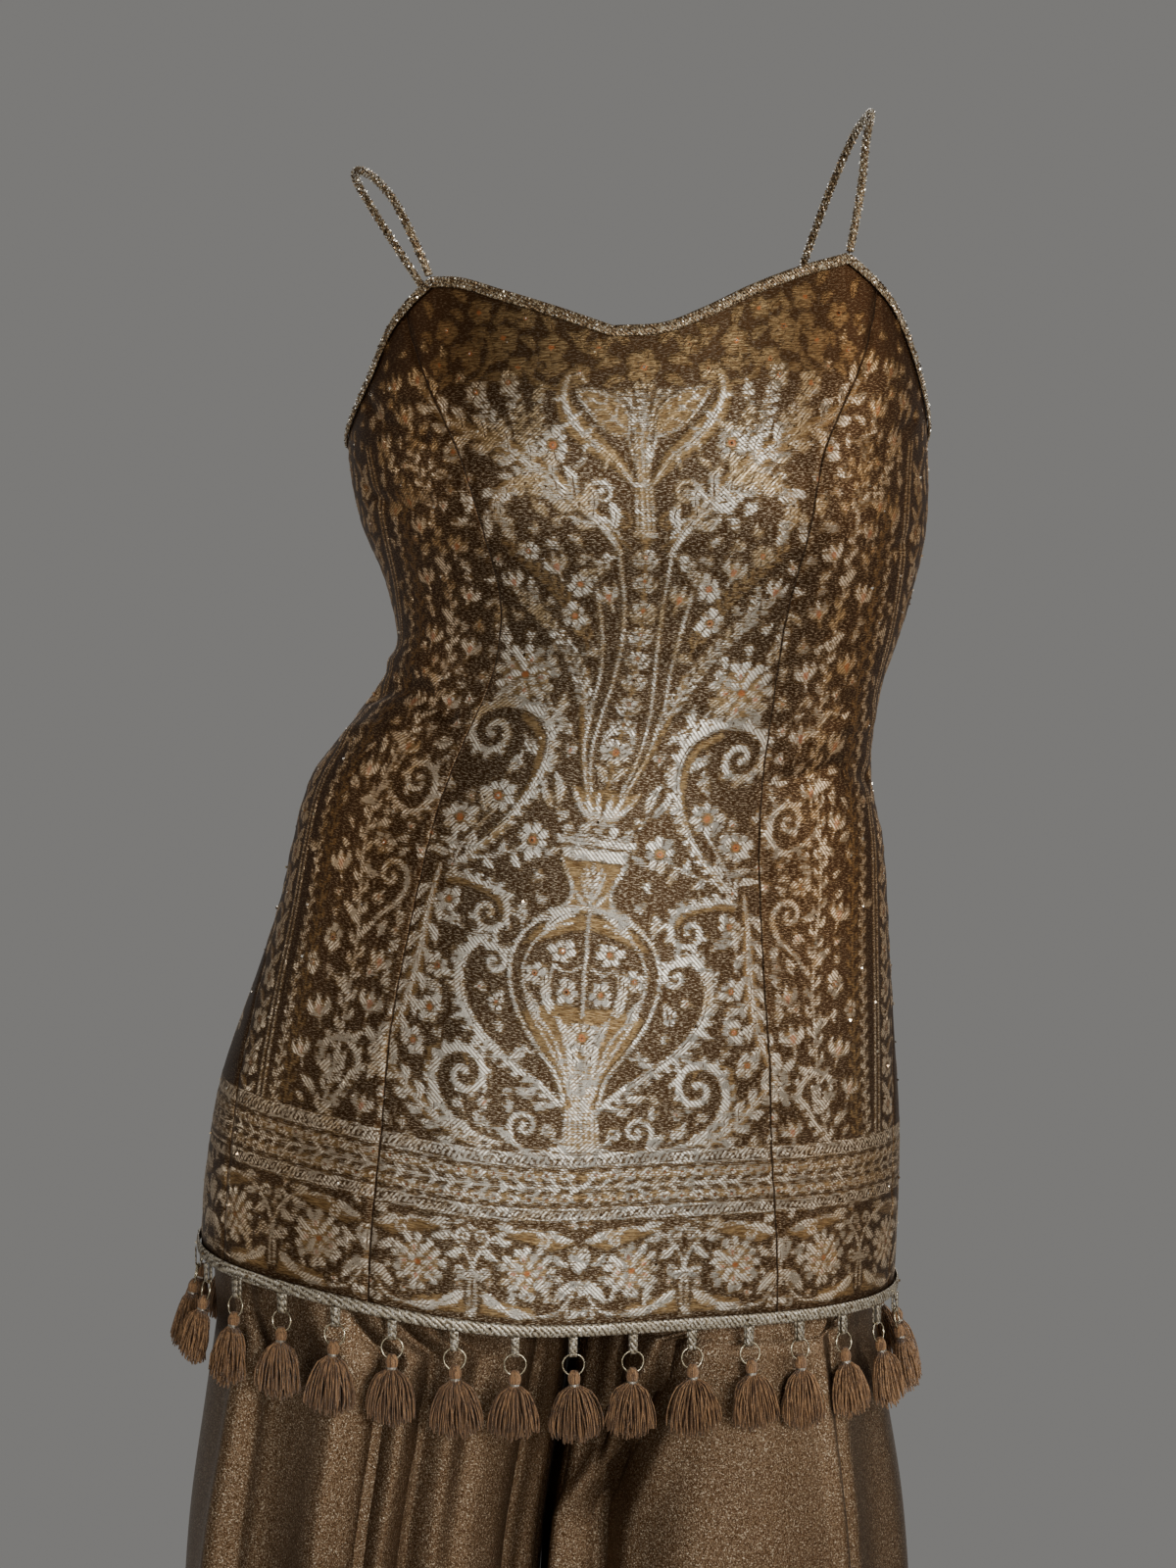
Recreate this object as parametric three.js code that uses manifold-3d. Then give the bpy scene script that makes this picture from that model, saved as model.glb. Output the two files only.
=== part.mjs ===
// Palazzo suit: a short strappy kurti with a tasselled hem, worn over wide palazzo trousers.
// Millimetres, +Z up. The front faces -Y and the origin lies midway between the two strap tops.
// Every cloth piece is a thin wall that hangs as it is worn, over an open hollow. Left and right in
// the names are as seen from the front, so left is -X.
import * as THREE from 'three';
import { mergeVertices } from 'three/addons/utils/BufferGeometryUtils.js';
import Module from 'manifold-3d';

const wasm = await Module();
wasm.setup();

// Driving dimensions
const kurtiWall = 1.6;
const trouserWall = 1.2;
const seamGap = 0.3;
const clearance = 0.4;
const cupFullness = 12;
const cupAngle = 32;
const cupSpreadAngle = 20;
const cupLevel = -190;
const cupSpreadLevel = 50;
const cupTurn = 0.6;
const seamRadius = 150;
const lowestTop = -175;
const highestTop = -55;
const kurtiRows = 14;
const bindingWidth = 6;
const bindingThickness = 1.4;
const bindingOverhang = 0.8;
const strapDiameter = 4.8;
const strapSides = 6;
const strapSteps = 22;
const leftStrapRise = { front: 1.2, back: 2.3 };
const rightStrapRise = { front: 1.3, back: 1.3 };
const cordHeight = 7;
const cordThickness = 2;
const cordOverhang = 0.5;
const cordClearance = 0.8;
const tasselCount = 32;
const firstTasselAngle = -1;
const tapeWidth = 4.5;
const tapeThickness = 0.8;
const loopDrop = 11;
const loopHoleDepth = 1.8;
const ringDiameter = 13;
const ringWire = 1.1;
const ringSegments = 8;
const skirtLength = 32;
const skirtWidth = 25;
const skirtDepth = 14;
const headLength = 8;
const headTopRadius = 2.6;
const headFootRadius = 3.4;
const headOverRing = 3.2;
const ringPlay = 0.5;
const lockRadius = 3.1;
const lockTaper = 0.3;
const lockRootRadius = 1.7;
const leanAtFront = 2;
const leanAtSide = 12;
const locksPerTassel = 5;
const waistLevel = -345;
const waistbandHeight = 30;
const waistbandThickness = 2.6;
const waistbandStations = 36;
const easeAtWaist = 13;
const easeAtHip = 3.5;
const hipEaseLevel = -600;
const lastHipLevel = -640;
const legSquareness = 2.2;
const seamHalfAngle = 0.08;
const seamHalfShare = 0.0008;
const crotchLevel = -648;
const crotchCurveStart = -530;
const crotchTurns = [28, 50, 70, 90];
const hipLevels = [-415, -460, -500];
const legLevels = [-700, -760, -850, -1000, -1200];
const trouserColumns = 14;
const legHemLevel = -1410;

// The body of the kurti, a row for each section. Level is the height at the section's middle, the
// sections lean by tilt and turn by yaw, and seam, side and back are the angles of the cut lines.
const sectionColumns = ['level', 'centreX', 'halfWidth', 'frontDepth', 'backDepth',
  'squareness', 'tilt', 'yaw', 'seam', 'side', 'back'];
const sectionRows = [
  [-640, -36, 198, 126, 126, 2.15, -4.4, 8, 34, 70, 145],
  [-585, -33, 197, 124, 128, 2.15, -4.4, 7, 33.5, 70, 145],
  [-530, -28, 192, 121, 130, 2.1, -4.6, 5, 33, 72, 145],
  [-480, -21, 181, 117, 125, 2.1, -5, 2, 34, 79, 145],
  [-435, -15, 172, 112, 114, 2.05, -5.5, 0, 34, 86, 145],
  [-400, -12, 167, 107, 104, 2, -6, 0, 33.5, 90, 145],
  [-365, -8, 160, 103, 97, 2, -6.5, 0, 33, 90, 145],
  [-330, 1, 144, 99, 92, 2, -6.5, -1, 34.5, 90, 145],
  [-290, 14, 135, 99, 92, 2.05, -5, -2.5, 34, 90, 145],
  [-250, 19, 144, 104, 94, 2.1, -3, -2, 31, 90, 145],
  [-205, 17, 157, 113, 98, 2.15, -1, 0, 31, 90, 147],
  [-160, 14, 160, 116, 101, 2.2, 0.5, 0.5, 35, 90, 148],
  [-115, 16, 155, 110, 103, 2.25, 2, 0, 47, 90, 148],
  [-60, 14, 142, 98, 103, 2.3, 3.3, 0, 62, 90, 148],
];

// The top edge in three stretches: left of the neck point, right of it, and from a strap back under
// the arm and across the back, which both sides share.
const edgeColumns = ['angle', 'level'];
const neckLeftRows = [[-48, -64], [-40, -65], [-29, -73], [-18, -82.5], [-6, -94.5]];
const neckRightRows = [[-6, -94.5], [5, -93.5], [12, -87.5], [22.5, -77], [34, -69], [48, -63.5]];
const armToBackRows = [[48, -63.8], [56, -78], [62, -92], [68, -116], [78, -142], [90, -156],
  [110, -158], [130, -141], [148, -122], [165, -131], [180, -134]];
const neckPointAngle = -6;
const strapAngle = 48;
const strapBackAngle = 148;

// The hem dips a little at the front, left of the middle.
const hemLevel = -628;
const hemDip = 8;
const hemDipAngle = -12;
const hemDipSpread = 24;

// The middle line of each strap from the front edge, over the shoulder, to the back edge.
const strapColumns = ['x', 'y', 'z'];
const leftStrapRows = [[-110, -68, -42], [-120, -50, -26], [-132, -26, -15], [-141, 2, -13],
  [-140, 28, -22], [-122, 60, -54], [-96, 82, -94]];
const rightStrapRows = [[132, -62, -25], [136, -46, 4], [140, -20, 17], [140, 6, 17],
  [133, 34, 4], [119, 64, -34], [104, 82, -84]];

// The trouser legs below the crotch, a row for each level. The gap is the line between the legs.
const legColumns = ['level', 'leftOuter', 'gapX', 'gapHalf', 'rightOuter', 'depth', 'leftY', 'rightY', 'fold'];
const legRows = [
  [-648, -223, -21, 0.3, 149, 98, -12, 13, 0.1],
  [-700, -231, -28, 2, 157, 101, -12, 12, 0.4],
  [-760, -240, -37, 3, 167, 104, -11, 11, 0.8],
  [-850, -247, -43, 4, 174, 107, -10, 9, 1.2],
  [-1000, -254, -43, 5, 182, 111, -8, 7, 1.5],
  [-1200, -263, -39, 6, 192, 116, -6, 5, 1.8],
  [-1410, -272, -35, 7, 202, 121, -4, 3, 2.1],
];

// The folds of each leg, a row for each: leg side, angle round the leg, half width and height.
const foldColumns = ['leg', 'angle', 'spread', 'height'];
const foldRows = [
  [-1, -50, 9, 6], [-1, -28, 10, -4], [-1, -6, 12, 6], [-1, 18, 8, -5], [-1, 30, 8, 5], [-1, 58, 10, -6],
  [-1, 74, 8, 3], [-1, 112, 12, 5], [-1, 135, 11, -5], [-1, 158, 12, 5], [-1, 186, 12, -5], [-1, 212, 12, 5],
  [-1, 238, 12, -5],
  [1, -62, 9, 4], [1, -42, 8, -7], [1, -12, 16, 4], [1, 32, 11, 4], [1, 52, 10, -4], [1, 72, 9, 3],
  [1, 110, 12, -5], [1, 133, 12, 5], [1, 157, 12, -5], [1, 181, 12, 5], [1, 206, 12, -5], [1, 232, 12, 5],
];

// How each tassel hangs: turned along the hem, and its skirt a little longer or shorter.
const swingDegrees = [2, -3, 1, 3, -2, 0, 2, -1];
const lengthShare = [1, 0.95, 1.03, 0.98, 1.04, 0.97];

const radians = THREE.MathUtils.degToRad;
const lerp = THREE.MathUtils.lerp;

function named(columns, rows) {
  return rows.map((row) => Object.fromEntries(columns.map((name, i) => [name, row[i]])));
}

const sections = named(sectionColumns, sectionRows);
const neckLeft = named(edgeColumns, neckLeftRows);
const neckRight = named(edgeColumns, neckRightRows);
const armToBack = named(edgeColumns, armToBackRows);
const legs = named(legColumns, legRows).reverse();
const folds = named(foldColumns, foldRows);

// A smooth value of one column between the rows of a table, whose key column rises.
function readTable(table, key, column, at) {
  let i = 0;
  while (i < table.length - 2 && table[i + 1][key] < at) i += 1;
  const slopeBetween = (j) => (table[j + 1][column] - table[j][column]) / (table[j + 1][key] - table[j][key]);
  const slopeAt = (j) => {
    if (j === 0) return slopeBetween(0);
    if (j === table.length - 1) return slopeBetween(j - 1);
    const before = table[j][key] - table[j - 1][key];
    const after = table[j + 1][key] - table[j][key];
    return (slopeBetween(j - 1) * after + slopeBetween(j) * before) / (before + after);
  };
  const span = table[i + 1][key] - table[i][key];
  const t = THREE.MathUtils.clamp((at - table[i][key]) / span, 0, 1);
  const t2 = t * t;
  const t3 = t2 * t;
  return (2 * t3 - 3 * t2 + 1) * table[i][column] + (t3 - 2 * t2 + t) * span * slopeAt(i)
    + (3 * t2 - 2 * t3) * table[i + 1][column] + (t3 - t2) * span * slopeAt(i + 1);
}

function bell(distance, spread) {
  return Math.exp(-((distance / spread) ** 2));
}

// A rounded section: an ellipse whose corners fill out as the squareness passes 2.
function ovalPoint(angle, halfWidth, depth, squareness) {
  const s = Math.sin(radians(angle));
  const c = Math.cos(radians(angle));
  const k = (Math.abs(s) ** squareness + Math.abs(c) ** squareness) ** (-1 / squareness);
  return [halfWidth * s * k, -depth * c * k];
}

function wrapAngle(angle) {
  return ((angle + 180) % 360 + 360) % 360 - 180;
}

// A point on the kurti's outer face at a level and an angle, 0 at the front middle, + to +X.
function kurtiPoint(level, angle) {
  const read = (column) => readTable(sections, 'level', column, level);
  const depth = Math.abs(wrapAngle(angle)) < 90 ? read('frontDepth') : read('backDepth');
  let [x, y] = ovalPoint(angle, read('halfWidth'), depth, read('squareness'));
  const offCup = Math.abs(wrapAngle(angle)) - cupAngle;
  const cup = cupFullness * bell(offCup, cupSpreadAngle) * bell(level - cupLevel, cupSpreadLevel);
  x += cup * Math.sin(radians(wrapAngle(angle) * cupTurn));
  y -= cup * Math.cos(radians(wrapAngle(angle) * cupTurn));
  const yaw = radians(read('yaw'));
  const turnedX = x * Math.cos(yaw) - y * Math.sin(yaw);
  const turnedY = x * Math.sin(yaw) + y * Math.cos(yaw);
  const rise = Math.tan(radians(read('tilt'))) * turnedX;
  return new THREE.Vector3(read('centreX') + turnedX, turnedY, level + rise);
}

// The outward direction of a surface given as a function of two values.
function outward(surface, u, v, stepU, stepV) {
  const along = surface(u + stepU, v).sub(surface(u - stepU, v));
  const across = surface(u, v + stepV).sub(surface(u, v - stepV));
  return across.cross(along).normalize();
}

function kurtiOutward(level, angle) {
  return outward(kurtiPoint, level, angle, 0.5, 0.5);
}

function hemLevelAt(angle) {
  return hemLevel - hemDip * bell(wrapAngle(angle) - hemDipAngle, hemDipSpread);
}

function topLevelAt(angle) {
  const turned = wrapAngle(angle);
  if (Math.abs(turned) >= strapAngle) return readTable(armToBack, 'angle', 'level', Math.abs(turned));
  if (turned < neckPointAngle) return readTable(neckLeft, 'angle', 'level', turned);
  return readTable(neckRight, 'angle', 'level', turned);
}

// The level at which a line that runs up a panel meets the top edge.
function meetTop(angleAt) {
  let low = lowestTop;
  let high = highestTop;
  for (let i = 0; i < 30; i += 1) {
    const middle = (low + high) / 2;
    if (middle < topLevelAt(angleAt(middle))) low = middle;
    else high = middle;
  }
  return (low + high) / 2;
}

function meetHem(angleAt) {
  return hemLevelAt(angleAt(hemLevel));
}

function seamAngle(kind, sign) {
  return (level) => sign * readTable(sections, 'level', kind, level);
}

// A closed wall between an outer and an inner grid of points, rows by columns.
function wallGeometry(outer, inner) {
  const rowCount = outer.length;
  const columnCount = outer[0].length;
  const positions = [];
  for (const grid of [outer, inner]) {
    for (const row of grid) row.forEach((p) => positions.push(p.x, p.y, p.z));
  }
  const id = (layer, r, c) => layer * rowCount * columnCount + r * columnCount + c;
  const faces = [];
  const quad = (a, b, c, d) => faces.push(a, b, c, a, c, d);
  for (let r = 0; r < rowCount - 1; r += 1) {
    for (let c = 0; c < columnCount - 1; c += 1) {
      quad(id(0, r, c), id(0, r, c + 1), id(0, r + 1, c + 1), id(0, r + 1, c));
      quad(id(1, r, c), id(1, r + 1, c), id(1, r + 1, c + 1), id(1, r, c + 1));
    }
  }
  const lastRow = rowCount - 1;
  const lastColumn = columnCount - 1;
  for (let c = 0; c < lastColumn; c += 1) {
    quad(id(1, 0, c), id(1, 0, c + 1), id(0, 0, c + 1), id(0, 0, c));
    quad(id(0, lastRow, c), id(0, lastRow, c + 1), id(1, lastRow, c + 1), id(1, lastRow, c));
  }
  for (let r = 0; r < lastRow; r += 1) {
    quad(id(0, r, 0), id(0, r + 1, 0), id(1, r + 1, 0), id(1, r, 0));
    quad(id(1, r, lastColumn), id(1, r + 1, lastColumn), id(0, r + 1, lastColumn), id(0, r, lastColumn));
  }
  const geometry = new THREE.BufferGeometry();
  geometry.setAttribute('position', new THREE.Float32BufferAttribute(positions, 3));
  geometry.setIndex(faces);
  return geometry;
}

// A closed ring swept from a four-cornered section at each of its stations.
function ringGeometry(stations) {
  const positions = [];
  const faces = [];
  stations.forEach((corners) => corners.forEach((p) => positions.push(p.x, p.y, p.z)));
  for (let i = 0; i < stations.length; i += 1) {
    const next = (i + 1) % stations.length;
    for (let k = 0; k < 4; k += 1) {
      const a = i * 4 + k;
      const b = i * 4 + (k + 1) % 4;
      const c = next * 4 + (k + 1) % 4;
      const d = next * 4 + k;
      faces.push(a, c, b, a, d, c);
    }
  }
  const geometry = new THREE.BufferGeometry();
  geometry.setAttribute('position', new THREE.Float32BufferAttribute(positions, 3));
  geometry.setIndex(faces);
  return geometry;
}

function toSolid(geometry) {
  const plain = geometry.clone();
  plain.deleteAttribute('normal');
  plain.deleteAttribute('uv');
  const merged = mergeVertices(plain, 1e-4);
  return new wasm.Manifold(new wasm.Mesh({
    numProp: 3,
    vertProperties: new Float32Array(merged.attributes.position.array),
    triVerts: new Uint32Array(merged.index.array),
  }));
}

function toGeometry(solid) {
  const mesh = solid.getMesh();
  const geometry = new THREE.BufferGeometry();
  geometry.setAttribute('position', new THREE.BufferAttribute(new Float32Array(mesh.vertProperties), 3));
  geometry.setIndex(new THREE.BufferAttribute(new Uint32Array(mesh.triVerts), 1));
  return geometry;
}

function joined(geometries) {
  return toGeometry(geometries.map(toSolid).reduce((whole, solid) => whole.add(solid)));
}

const brocade = new THREE.MeshStandardMaterial({ color: '#6b5233', roughness: 0.55, metalness: 0.35 });
const beadTrim = new THREE.MeshStandardMaterial({ color: '#a4917a', roughness: 0.4, metalness: 0.5 });
const lame = new THREE.MeshStandardMaterial({ color: '#5a4326', roughness: 0.4, metalness: 0.5 });
const yarn = new THREE.MeshStandardMaterial({ color: '#6b4a33', roughness: 0.95, metalness: 0 });

const suit = new THREE.Group();

function addMesh(name, geometry, material) {
  geometry.computeVertexNormals();
  const mesh = new THREE.Mesh(geometry, material);
  mesh.name = name;
  suit.add(mesh);
  return mesh;
}

// Shares from 0 to 1 that put a column on each corner of a panel's top edge.
function alignedShares(stops, counts) {
  const shares = [0];
  counts.forEach((count, i) => {
    for (let k = 1; k <= count; k += 1) shares.push(lerp(stops[i], stops[i + 1], k / count));
  });
  return shares;
}

function shareOfTopCorner(leftLine, rightLine, angle) {
  const level = topLevelAt(angle);
  return (angle - leftLine(level)) / (rightLine(level) - leftLine(level));
}

// The kurti's six panels, each between two cut lines.
function kurtiPanels() {
  const seamLeft = seamAngle('seam', -1);
  const seamRight = seamAngle('seam', 1);
  const sideLeft = seamAngle('side', -1);
  const sideRight = seamAngle('side', 1);
  const backRight = seamAngle('back', 1);
  const backLeftTurned = (level) => 360 - readTable(sections, 'level', 'back', level);
  const backLeft = seamAngle('back', -1);
  const cornerAngles = [-strapAngle, neckPointAngle, strapAngle];
  const corners = cornerAngles.map((angle) => shareOfTopCorner(seamLeft, seamRight, angle));
  const centreShares = alignedShares([0, ...corners, 1], [2, 5, 6, 2]);
  const evenShares = (count) => alignedShares([0, 1], [count]);
  return [
    { name: 'front_centre', from: seamLeft, to: seamRight, shares: centreShares },
    { name: 'front_side_right', from: seamRight, to: sideRight, shares: evenShares(5) },
    { name: 'back_side_right', from: sideRight, to: backRight, shares: evenShares(7) },
    { name: 'back_centre', from: backRight, to: backLeftTurned, shares: evenShares(8) },
    { name: 'back_side_left', from: backLeft, to: sideLeft, shares: evenShares(7) },
    { name: 'front_side_left', from: sideLeft, to: seamLeft, shares: evenShares(5) },
  ];
}

const panels = kurtiPanels();

function panelLine(panel, share) {
  return (level) => lerp(panel.from(level), panel.to(level), share);
}

function buildPanel(panel) {
  const edgeInset = THREE.MathUtils.radToDeg(seamGap / 2 / seamRadius);
  const outer = [];
  const inner = [];
  const lines = panel.shares.map((share) => {
    const line = panelLine(panel, share);
    return { share, line, bottom: meetHem(line), top: meetTop(line) };
  });
  for (let r = 0; r <= kurtiRows; r += 1) {
    const outerRow = [];
    const innerRow = [];
    for (const { share, line, bottom, top } of lines) {
      const level = lerp(bottom, top, r / kurtiRows);
      const inset = share === 0 ? edgeInset : share === 1 ? -edgeInset : 0;
      const angle = line(level) + inset;
      const point = kurtiPoint(level, angle);
      const inward = kurtiOutward(level, angle).multiplyScalar(-kurtiWall);
      outerRow.push(point);
      innerRow.push(point.clone().add(inward));
    }
    outer.push(outerRow);
    inner.push(innerRow);
  }
  addMesh(panel.name, wallGeometry(outer, inner), brocade);
}

panels.forEach(buildPanel);

// The angles of every panel column, and the points halfway between, once round an edge.
function edgeLines(halfway) {
  const lines = [];
  for (const panel of panels) {
    for (let i = 0; i < panel.shares.length - 1; i += 1) {
      lines.push(panelLine(panel, panel.shares[i]));
      if (halfway) lines.push(panelLine(panel, (panel.shares[i] + panel.shares[i + 1]) / 2));
    }
  }
  return lines;
}

// The bead-worked binding lies on the outside of the top edge and turns with its corners.
function buildBinding() {
  const places = edgeLines(false).map((line) => {
    const level = meetTop(line);
    const angle = line(level);
    return { point: kurtiPoint(level, angle), out: kurtiOutward(level, angle) };
  });
  const count = places.length;
  const stations = places.map((place, i) => {
    const before = place.point.clone().sub(places[(i + count - 1) % count].point).normalize();
    const after = places[(i + 1) % count].point.clone().sub(place.point).normalize();
    const along = before.clone().add(after).normalize();
    const mitre = 1 / Math.max(before.dot(along), 0.5);
    const down = along.clone().cross(place.out).normalize();
    const at = (outBy, downBy) => place.point.clone()
      .addScaledVector(place.out, outBy).addScaledVector(down, downBy * mitre);
    const inside = clearance;
    const outside = clearance + bindingThickness;
    const low = bindingWidth - bindingOverhang;
    return [at(inside, low), at(outside, low), at(outside, -bindingOverhang), at(inside, -bindingOverhang)];
  });
  addMesh('top_binding', ringGeometry(stations), beadTrim);
}

buildBinding();

function strapGeometry(points) {
  const curve = new THREE.CatmullRomCurve3(points, false, 'centripetal');
  const outline = new THREE.Shape();
  for (let i = 0; i < strapSides; i += 1) {
    const turn = 2 * Math.PI * i / strapSides;
    const x = strapDiameter / 2 * Math.cos(turn);
    const y = strapDiameter / 2 * Math.sin(turn);
    if (i === 0) outline.moveTo(x, y);
    else outline.lineTo(x, y);
  }
  outline.closePath();
  return new THREE.ExtrudeGeometry(outline, { steps: strapSteps, bevelEnabled: false, extrudePath: curve });
}

// A strap starts just above the binding, goes over the shoulder and ends above the back edge.
function buildStrap(name, sign, rows, rise) {
  const footAt = (angle) => {
    const level = topLevelAt(angle);
    const out = kurtiOutward(level, angle);
    return kurtiPoint(level, angle).addScaledVector(out, clearance + bindingThickness / 2);
  };
  const firstRow = new THREE.Vector3(...rows[0]);
  const lastRow = new THREE.Vector3(...rows[rows.length - 1]);
  const front = footAt(sign * strapAngle);
  const back = footAt(sign * strapBackAngle);
  front.addScaledVector(firstRow.clone().sub(front).normalize(), rise.front);
  back.addScaledVector(lastRow.clone().sub(back).normalize(), rise.back);
  const middle = rows.map((row) => new THREE.Vector3(...row));
  addMesh(name, strapGeometry([front, ...middle, back]), beadTrim);
}

buildStrap('strap_left', -1, leftStrapRows, leftStrapRise);
buildStrap('strap_right', 1, rightStrapRows, rightStrapRise);

// Angles round the hem at equal distances along it.
function evenHemAngles(count, start) {
  const samples = 720;
  const lengths = [0];
  const angleOf = (i) => start + 360 * i / samples;
  const pointOf = (i) => kurtiPoint(hemLevel, angleOf(i));
  for (let i = 1; i <= samples; i += 1) lengths.push(lengths[i - 1] + pointOf(i).distanceTo(pointOf(i - 1)));
  const total = lengths[samples];
  const angles = [];
  for (let k = 0; k < count; k += 1) {
    const i = lengths.findIndex((length) => length >= total * k / count);
    angles.push(wrapAngle(angleOf(i)));
  }
  return angles;
}

const tasselAngles = evenHemAngles(tasselCount, firstTasselAngle);

function boxBetween(low, high) {
  const geometry = new THREE.BoxGeometry(high[0] - low[0], high[1] - low[1], high[2] - low[2]);
  return geometry.translate((low[0] + high[0]) / 2, (low[1] + high[1]) / 2, (low[2] + high[2]) / 2);
}

// One tape loop below the cord: local x runs along the hem, y points outward and z up.
function loopSolid() {
  const half = tapeWidth / 2;
  const depth = loopHoleDepth / 2 + tapeThickness;
  const outerBox = toSolid(boxBetween([-half, -depth, -loopDrop], [half, depth, cordOverhang]));
  const hole = toSolid(boxBetween([-half - 1, -loopHoleDepth / 2, -loopDrop + tapeThickness],
    [half + 1, loopHoleDepth / 2, -1]));
  return outerBox.subtract(hole);
}

// The frame of axes at a place on the hem, with its origin in the middle of the cord's underside.
function hemFrame(angle) {
  const level = hemLevelAt(angle);
  const out = kurtiOutward(level, angle);
  const flat = new THREE.Vector3(out.x, out.y, 0).normalize();
  const along = new THREE.Vector3(flat.y, -flat.x, 0);
  const place = kurtiPoint(level, angle).addScaledVector(out, cordClearance + cordThickness / 2);
  place.z -= cordOverhang;
  return new THREE.Matrix4().makeBasis(along, flat.clone(), new THREE.Vector3(0, 0, 1)).setPosition(place);
}

// The rope cord round the hem, with the tape loops that carry the tassel rings.
function buildHemCord() {
  const stations = edgeLines(true).map((line) => {
    const level = meetHem(line);
    const angle = line(level);
    const out = kurtiOutward(level, angle);
    const at = (outBy, upBy) => kurtiPoint(level + upBy, line(level + upBy)).addScaledVector(out, outBy);
    const outside = cordClearance + cordThickness;
    const low = -cordOverhang;
    const high = cordHeight - cordOverhang;
    return [at(cordClearance, low), at(outside, low), at(outside, high), at(cordClearance, high)];
  });
  let cord = toSolid(ringGeometry(stations));
  const loop = loopSolid();
  for (const angle of tasselAngles) {
    const geometry = toGeometry(loop).applyMatrix4(hemFrame(angle));
    cord = cord.add(toSolid(geometry));
  }
  addMesh('hem_cord', toGeometry(cord), beadTrim);
}

buildHemCord();

// The wire ring as a flat-topped polygon, with a square wire.
function ringShape() {
  const radius = ringDiameter / 2 - ringWire / 2;
  const corner = radius / Math.cos(Math.PI / ringSegments);
  const stations = [];
  for (let i = 0; i < ringSegments; i += 1) {
    const turn = 2 * Math.PI * (i + 0.5) / ringSegments;
    const dir = new THREE.Vector3(Math.sin(turn), 0, Math.cos(turn));
    const half = ringWire / 2;
    const at = (outBy, y) => dir.clone().multiplyScalar(corner + outBy).setY(y);
    stations.push([at(-half, -half), at(half, -half), at(half, half), at(-half, half)]);
  }
  return ringGeometry(stations).translate(0, 0, -radius);
}

// A tapered lock of yarn between two points, with three sides.
function lockShape(from, to, width) {
  const sides = 3;
  const ends = [[from, width * lockTaper], [to, width]];
  const positions = [];
  for (const [centre, size] of ends) {
    for (let i = 0; i < sides; i += 1) {
      const turn = 2 * Math.PI * i / sides;
      positions.push(centre.x + size * Math.cos(turn), centre.y + size * Math.sin(turn), centre.z);
    }
  }
  const faces = [0, 1, 2, 3, 5, 4];
  for (let i = 0; i < sides; i += 1) {
    const next = (i + 1) % sides;
    faces.push(i, sides + next, next, i, sides + i, sides + next);
  }
  const geometry = new THREE.BufferGeometry();
  geometry.setAttribute('position', new THREE.Float32BufferAttribute(positions, 3));
  geometry.setIndex(faces);
  return geometry;
}

// One tassel below its ring: the head wraps the foot of the ring and the locks spread from it.
function tasselShape(share) {
  const headTop = -ringDiameter + headOverRing;
  const neck = headTop - headLength;
  const head = new THREE.CylinderGeometry(headTopRadius, headFootRadius, headLength, 6).rotateX(Math.PI / 2)
    .translate(0, 0, (headTop + neck) / 2);
  const locks = [];
  for (let i = 0; i < locksPerTassel; i += 1) {
    const turn = 2 * Math.PI * (i + 0.25) / locksPerTassel;
    const spreadX = Math.cos(turn);
    const spreadY = Math.sin(turn);
    const root = new THREE.Vector3(spreadX * lockRootRadius, spreadY * lockRootRadius, neck + 0.5);
    const tip = new THREE.Vector3(spreadX * (skirtWidth / 2 - lockRadius),
      spreadY * (skirtDepth - lockRadius) / 2, neck - skirtLength * share);
    locks.push(lockShape(root, tip, lockRadius));
  }
  return joined([ringShape(), head, ...locks]);
}

// Each tassel hangs from its loop, leaning outward where the trousers flare below the hem.
function buildTassels() {
  const shapes = lengthShare.map(tasselShape);
  tasselAngles.forEach((angle, i) => {
    const sideways = Math.abs(Math.sin(radians(angle)));
    const frame = hemFrame(angle);
    const swing = radians(swingDegrees[i % swingDegrees.length]);
    const lean = radians(leanAtFront + (leanAtSide - leanAtFront) * sideways);
    const wireDrop = ringWire / 2 + ringPlay;
    const hang = new THREE.Matrix4().makeTranslation(0, 0, -loopDrop + tapeThickness + wireDrop)
      .multiply(new THREE.Matrix4().makeRotationX(lean))
      .multiply(new THREE.Matrix4().makeRotationY(swing));
    const number = String(i + 1).padStart(2, '0');
    const mesh = addMesh(`tassel_${number}`, shapes[i % shapes.length].clone(), yarn);
    mesh.applyMatrix4(frame.multiply(hang));
  });
}

buildTassels();

// How far the trousers lie inside the kurti's outer face.
function trouserEase(level) {
  const share = THREE.MathUtils.clamp((level - hipEaseLevel) / (waistLevel - hipEaseLevel), 0, 1);
  return kurtiWall + lerp(easeAtHip, easeAtWaist, share);
}

// A point on the hip part of the trousers, which follows the kurti from inside.
function hipPoint(level, angle) {
  const sheltered = Math.max(level, lastHipLevel);
  const point = kurtiPoint(sheltered, angle);
  point.addScaledVector(kurtiOutward(sheltered, angle), -trouserEase(sheltered));
  point.z += level - sheltered;
  return point;
}

function foldHeight(leg, angle) {
  let height = 0;
  for (const fold of folds) {
    if (fold.leg !== leg) continue;
    const turned = ((angle + 90) % 360 + 360) % 360 - 90;
    height += fold.height * bell(turned - fold.angle, fold.spread);
  }
  return height;
}

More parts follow.
